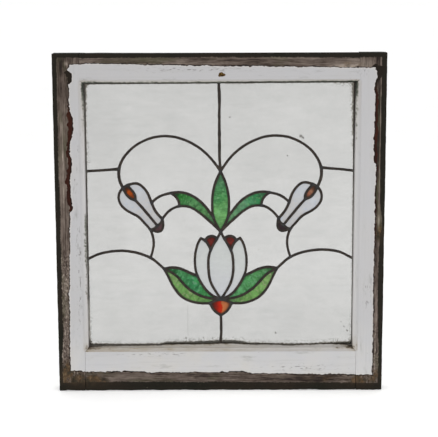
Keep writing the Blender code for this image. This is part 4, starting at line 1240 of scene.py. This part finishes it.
def lead_shader():
    """Dull oxidised lead, a little lighter and bluer where it is soldered."""
    s = Shader("lead_came", 0.6, 0.2)
    cloud, fine = s.noise(s.place, 130, 4), s.noise(s.place, 900)
    mixed = s.total((cloud, 0.6), (fine, 0.4))
    lead = s.ramp(mixed, (0.35, "#1e1915"), (0.5, "#2e2722"), (0.65, "#433b33"))
    solder = s.ramp(mixed, (0.35, "#202326"), (0.65, "#3a3e42"))
    colour = s.mix(lead, solder, s.value("solder"), 0.7)
    smear = s.times(s.value("smeared"), s.spread(cloud, 0.35, 0.6, 0.5, 1.1))
    colour = s.mix(colour, "#a39f97", smear, 0.7)
    return s.finish(colour, fine, 0.0002, s.swing(cloud, 0.68, 0.42))


def clear_shader():
    """Clear sheet glass under a film of old dirt, thicker and flecked round its edges."""
    s = Shader("clear_glass", 0.06, transmission=1.0)
    cloud, grit = s.noise(s.place, 11, 5, 0.65), s.noise(s.place, 260)
    rub, rough = s.noise(s.place, (25, 1, 90), 4, 0.65), s.noise(s.place, 420, 4, 0.7)
    colour = s.ramp(s.total((cloud, 0.45), (rub, 0.35), (grit, 0.2)), (0.36, CLEAR_DARK),
                    (0.5, CLEAR_MIDDLE), (0.64, CLEAR_LIGHT))
    colour = s.mix(colour, "#8f8c80", s.step(s.noise(s.place, 230, 2, 0.5), 0.76, 0.80), 0.6)
    flecks = s.value("flecks")
    spatter = s.step(s.total(s.spread(rough, 0.42, 0.70, 0, 12), (flecks, 0.45)), 6.0, 8.5)
    colour = s.mix(colour, "#4f4a3c", s.times(spatter, s.step(flecks, -3, 2)), 0.8)
    edge = s.total(s.value("soil"), s.swing(rough, 1.5), s.swing(grit, 1.2))
    colour = s.mix(colour, "#867c69", s.step(edge, -2.2, -0.2), 0.6)
    colour = s.mix(colour, "#2a261c", s.step(edge, -0.6, 0.7))

    flat = s.node("Mapping", {"Vector": s.place, "Scale": (1 / MM, 0, 1 / MM)})
    at = s.node("SeparateXYZ", {0: flat}).node.outputs
    wander = s.swing(s.noise(s.place, 30, 2, 0.5), 0.7)
    off = s.math("ABSOLUTE", s.total(at["X"], -CRACK_X, wander))
    length = s.math("SUBTRACT", s.step(at["Z"], CRACK_LOW, CRACK_LOW + 4),
                    s.step(at["Z"], CRACK_HIGH - 4, CRACK_HIGH))
    colour = s.mix(colour, "#a19c98", s.times(length, s.step(off, 1.1, 0.3)), 0.25)
    for x, z, size in GLASS_MARKS:
        gap = s.node("VectorMath", {0: flat, 1: (x, 0, z)}, out="Value", operation="DISTANCE")
        mark = s.step(s.total(gap, s.swing(rough, 1.6)), size * 1.4, size * 0.6)
        colour = s.mix(colour, "#57534a", mark, 0.75)
    return s.finish(colour, cloud)


def opal(name, left, right=None, contrast=0.25, specks=None, edge=None, reach=4):
    """Opaque glass rolled from mixed colours, streaked across its length.

    Stops run along the piece, from its root to its tip; each side may have its own. The
    edge's colour fades in over the last few millimetres before the came.
    """
    s = Shader(name, 0.3, 0.12)
    flow = s.value("flow", "Vector")
    cloud = s.noise(flow, 130, 4, 0.7, 0.5)
    bands = s.noise(flow, (230, 60, 1), 3, 0.6, 0.8)
    mixed = s.spread(s.total((bands, 0.5), (cloud, 0.5)), 0.36, 0.64, 0, 1)
    along = s.total(s.value("tone"), s.swing(s.noise(flow, 34, 2, 0.5), 0.14))
    sides = []
    for stops in (left, right or left):
        dark, light = (s.ramp(along, *[(at, tint(code, gain)) for at, code in stops])
                       for gain in (1 - contrast * 1.3, 1 + contrast * 1.3))
        sides.append(s.mix(dark, light, mixed))
    colour = s.mix(*sides, s.spread(s.value("side"), -1, 1, 0, 1)) if right else sides[0]
    if specks:
        colour = s.mix(colour, specks, s.step(s.noise(flow, (230, 150, 1)), 0.54, 0.66), 0.6)
    if edge:
        inwards = s.step(s.total(s.value("rim"), s.swing(cloud, 1.2)), 0.5, reach)
        colour = s.mix(edge, colour, s.spread(inwards, 0, 1, 0.35, 1))
    return s.finish(colour, cloud, 0.0004)


def seed_shader():
    """Scarlet to the left, orange to the right, darker towards the rim."""
    s = Shader("scarlet_glass", 0.3, 0.12)
    cloud = s.noise(s.value("flow", "Vector"), 120, 4)
    colour = s.ramp(s.total(s.value("tone"), s.swing(cloud, 0.05)), (0.12, "#3c1b17"),
                    (0.30, "#801603"), (0.44, "#b41e02"), (0.52, "#ae300c"),
                    (0.56, "#ba6a3c"), (0.74, "#a6643c"), (0.92, "#523023"))
    colour = s.mix(colour, "#6a2010", s.step(cloud, 0.5, 0.7), 0.6)
    inwards = s.spread(s.step(s.value("rim"), 0, 5), 0, 1, 0.3, 1)
    return s.finish(s.mix("#4c2418", colour, inwards), cloud, 0.0003)


def glass_shaders():
    return {
        "clear": clear_shader(),
        "scarlet": seed_shader(),
        "milk": opal("milk_glass", [(0.0, "#c2c4cb"), (0.3, "#c4c6c7"), (0.7, "#c5c8c6"),
                                    (1.0, "#c0c3c3")], contrast=0.03),
        "milk_blue": opal("milk_glass_blue", [
            (0.0, "#b9b8b8"), (0.4, "#bebdbd"), (0.75, "#bfc2c7"), (1.0, "#bfbfbf")],
            contrast=0.04, specks="#b1bac8"),
        "amber": opal("amber_glass", [
            (0.1, "#5a2c14"), (0.35, "#964006"), (0.55, "#9c4206"), (0.74, "#4e2812"),
            (1.0, "#2c1a10")], [
            (0.1, "#4a342a"), (0.35, "#86523e"), (0.55, "#92664e"), (0.75, "#5a3a2c"),
            (1.0, "#35241c")], edge="#38200f", reach=3.6),
        "brown": opal("brown_glass", [(0.0, "#483538"), (1.0, "#523a3c")],
                      [(0.0, "#2c2024"), (1.0, "#342428")], contrast=0.2),
        "ruby": opal("ruby_glass", [(0.0, "#38150f"), (0.5, "#66211a"), (1.0, "#451813")],
                     contrast=0.3, edge="#34130e", reach=3),
        "middle_leaf": opal("green_glass_middle", [
            (0.08, "#588b51"), (0.28, "#669d5d"), (0.5, "#407e46"), (0.72, "#477c51"),
            (0.95, "#426549")], contrast=0.3, specks="#73a773", edge="#2a5634"),
        "side_leaf": opal("green_glass_side", [
            (0.12, "#3f6240"), (0.4, "#4a7745"), (0.62, "#467b4a"), (0.8, "#27712b"),
            (0.93, "#1d6422"), (1.0, "#223d23")], [
            (0.12, "#47604a"), (0.38, "#5c8760"), (0.6, "#528260"), (0.82, "#2e7c48"),
            (1.0, "#306040")], contrast=0.34, specks="#6f9c68", edge="#264f30"),
        "low_leaf_upper": opal("green_glass_dark", [
            (0.1, "#286e40"), (0.3, "#3b8244"), (0.5, "#307848"), (0.72, "#3d7c4a"),
            (0.86, "#255e34"), (1.0, "#1d4625")], [
            (0.1, "#3e693f"), (0.35, "#4f8f58"), (0.6, "#417d45"), (0.85, "#456f46"),
            (1.0, "#2c5531")], contrast=0.4, specks="#6d9c7b", edge="#1f4b2a"),
        "low_leaf_under": opal("green_glass_light", [
            (0.1, "#4d7144"), (0.35, "#5e8b49"), (0.6, "#689651"), (0.8, "#6f9257"),
            (1.0, "#41623a")], contrast=0.32, specks="#9c9c7d", edge="#3a5e34", reach=3),
    }


# ---------------------------------------------------------------- stage

CAMERA_PLACE = (-0.0001, -2.4686, 0.7666)
CAMERA_TURN = (radians(79.917), radians(0.188), radians(0.008))
CAMERA_LENS = 110.66
FLOOR_REACH = 150
# Soft lamps: name, place, what they aim at, size and power
LAMPS = [("key", (0.9, -2.4, 0.9), (0, 0, 0.3), 1.6, 5),
         ("low", (0.1, -0.9, 0.12), (0, 0, 0.1), 0.7, 1.5)]


def build_stage():
    scene = bpy.context.scene
    scene.view_settings.view_transform = "Standard"
    camera = bpy.data.objects.new("camera", bpy.data.cameras.new("camera"))
    scene.collection.objects.link(camera)
    camera.location, camera.rotation_euler = CAMERA_PLACE, CAMERA_TURN
    camera.data.lens = CAMERA_LENS
    camera.data.sensor_width = 36
    camera.data.clip_end = 2 * FLOOR_REACH
    scene.camera = camera

    scene.world = bpy.data.worlds.new("studio")
    scene.world.use_nodes = True
    sky = scene.world.node_tree.nodes["Background"].inputs
    sky["Color"].default_value = (1, 1, 1, 1)
    sky["Strength"].default_value = 1.0

    s = Shader("floor", 0.9, 0.1)
    colour = s.ramp(s.noise(s.place, 6, 3, 0.5), (0.3, (0.88, 0.88, 0.88)),
                    (0.7, (0.91, 0.91, 0.90)))
    away = s.node("VectorMath", {0: s.place}, out="Value", operation="LENGTH")
    # The floor glows a little all over, and more within half a metre of the sash: painted light
    # that lifts the sash's shadow off the floor.
    s.put(s.inputs["Emission Color"], (1, 1, 1))
    s.put(s.inputs["Emission Strength"], s.total(
        s.spread(away, 0.1, 0.5, 0.14, 0), s.spread(away, 0.5, 4, 0.09, 0), 0.11))
    reach = FLOOR_REACH
    floor = mesh_object("floor", [(-reach, -reach, 0), (reach, -reach, 0), (reach, reach, 0),
                                  (-reach, reach, 0)], [(0, 1, 2, 3)], s.finish(colour))

    for name, place, aim, size, power in LAMPS:
        light = bpy.data.lights.new(name, "AREA")
        light.size, light.energy = size, power
        lamp = bpy.data.objects.new(name, light)
        scene.collection.objects.link(lamp)
        lamp.visible_camera = lamp.visible_glossy = False
        lamp.location = place
        lamp.rotation_euler = (Vector(aim) - Vector(place)).to_track_quat("-Z", "Y").to_euler()


build_sash()
build_putty()
build_panel()
build_stage()
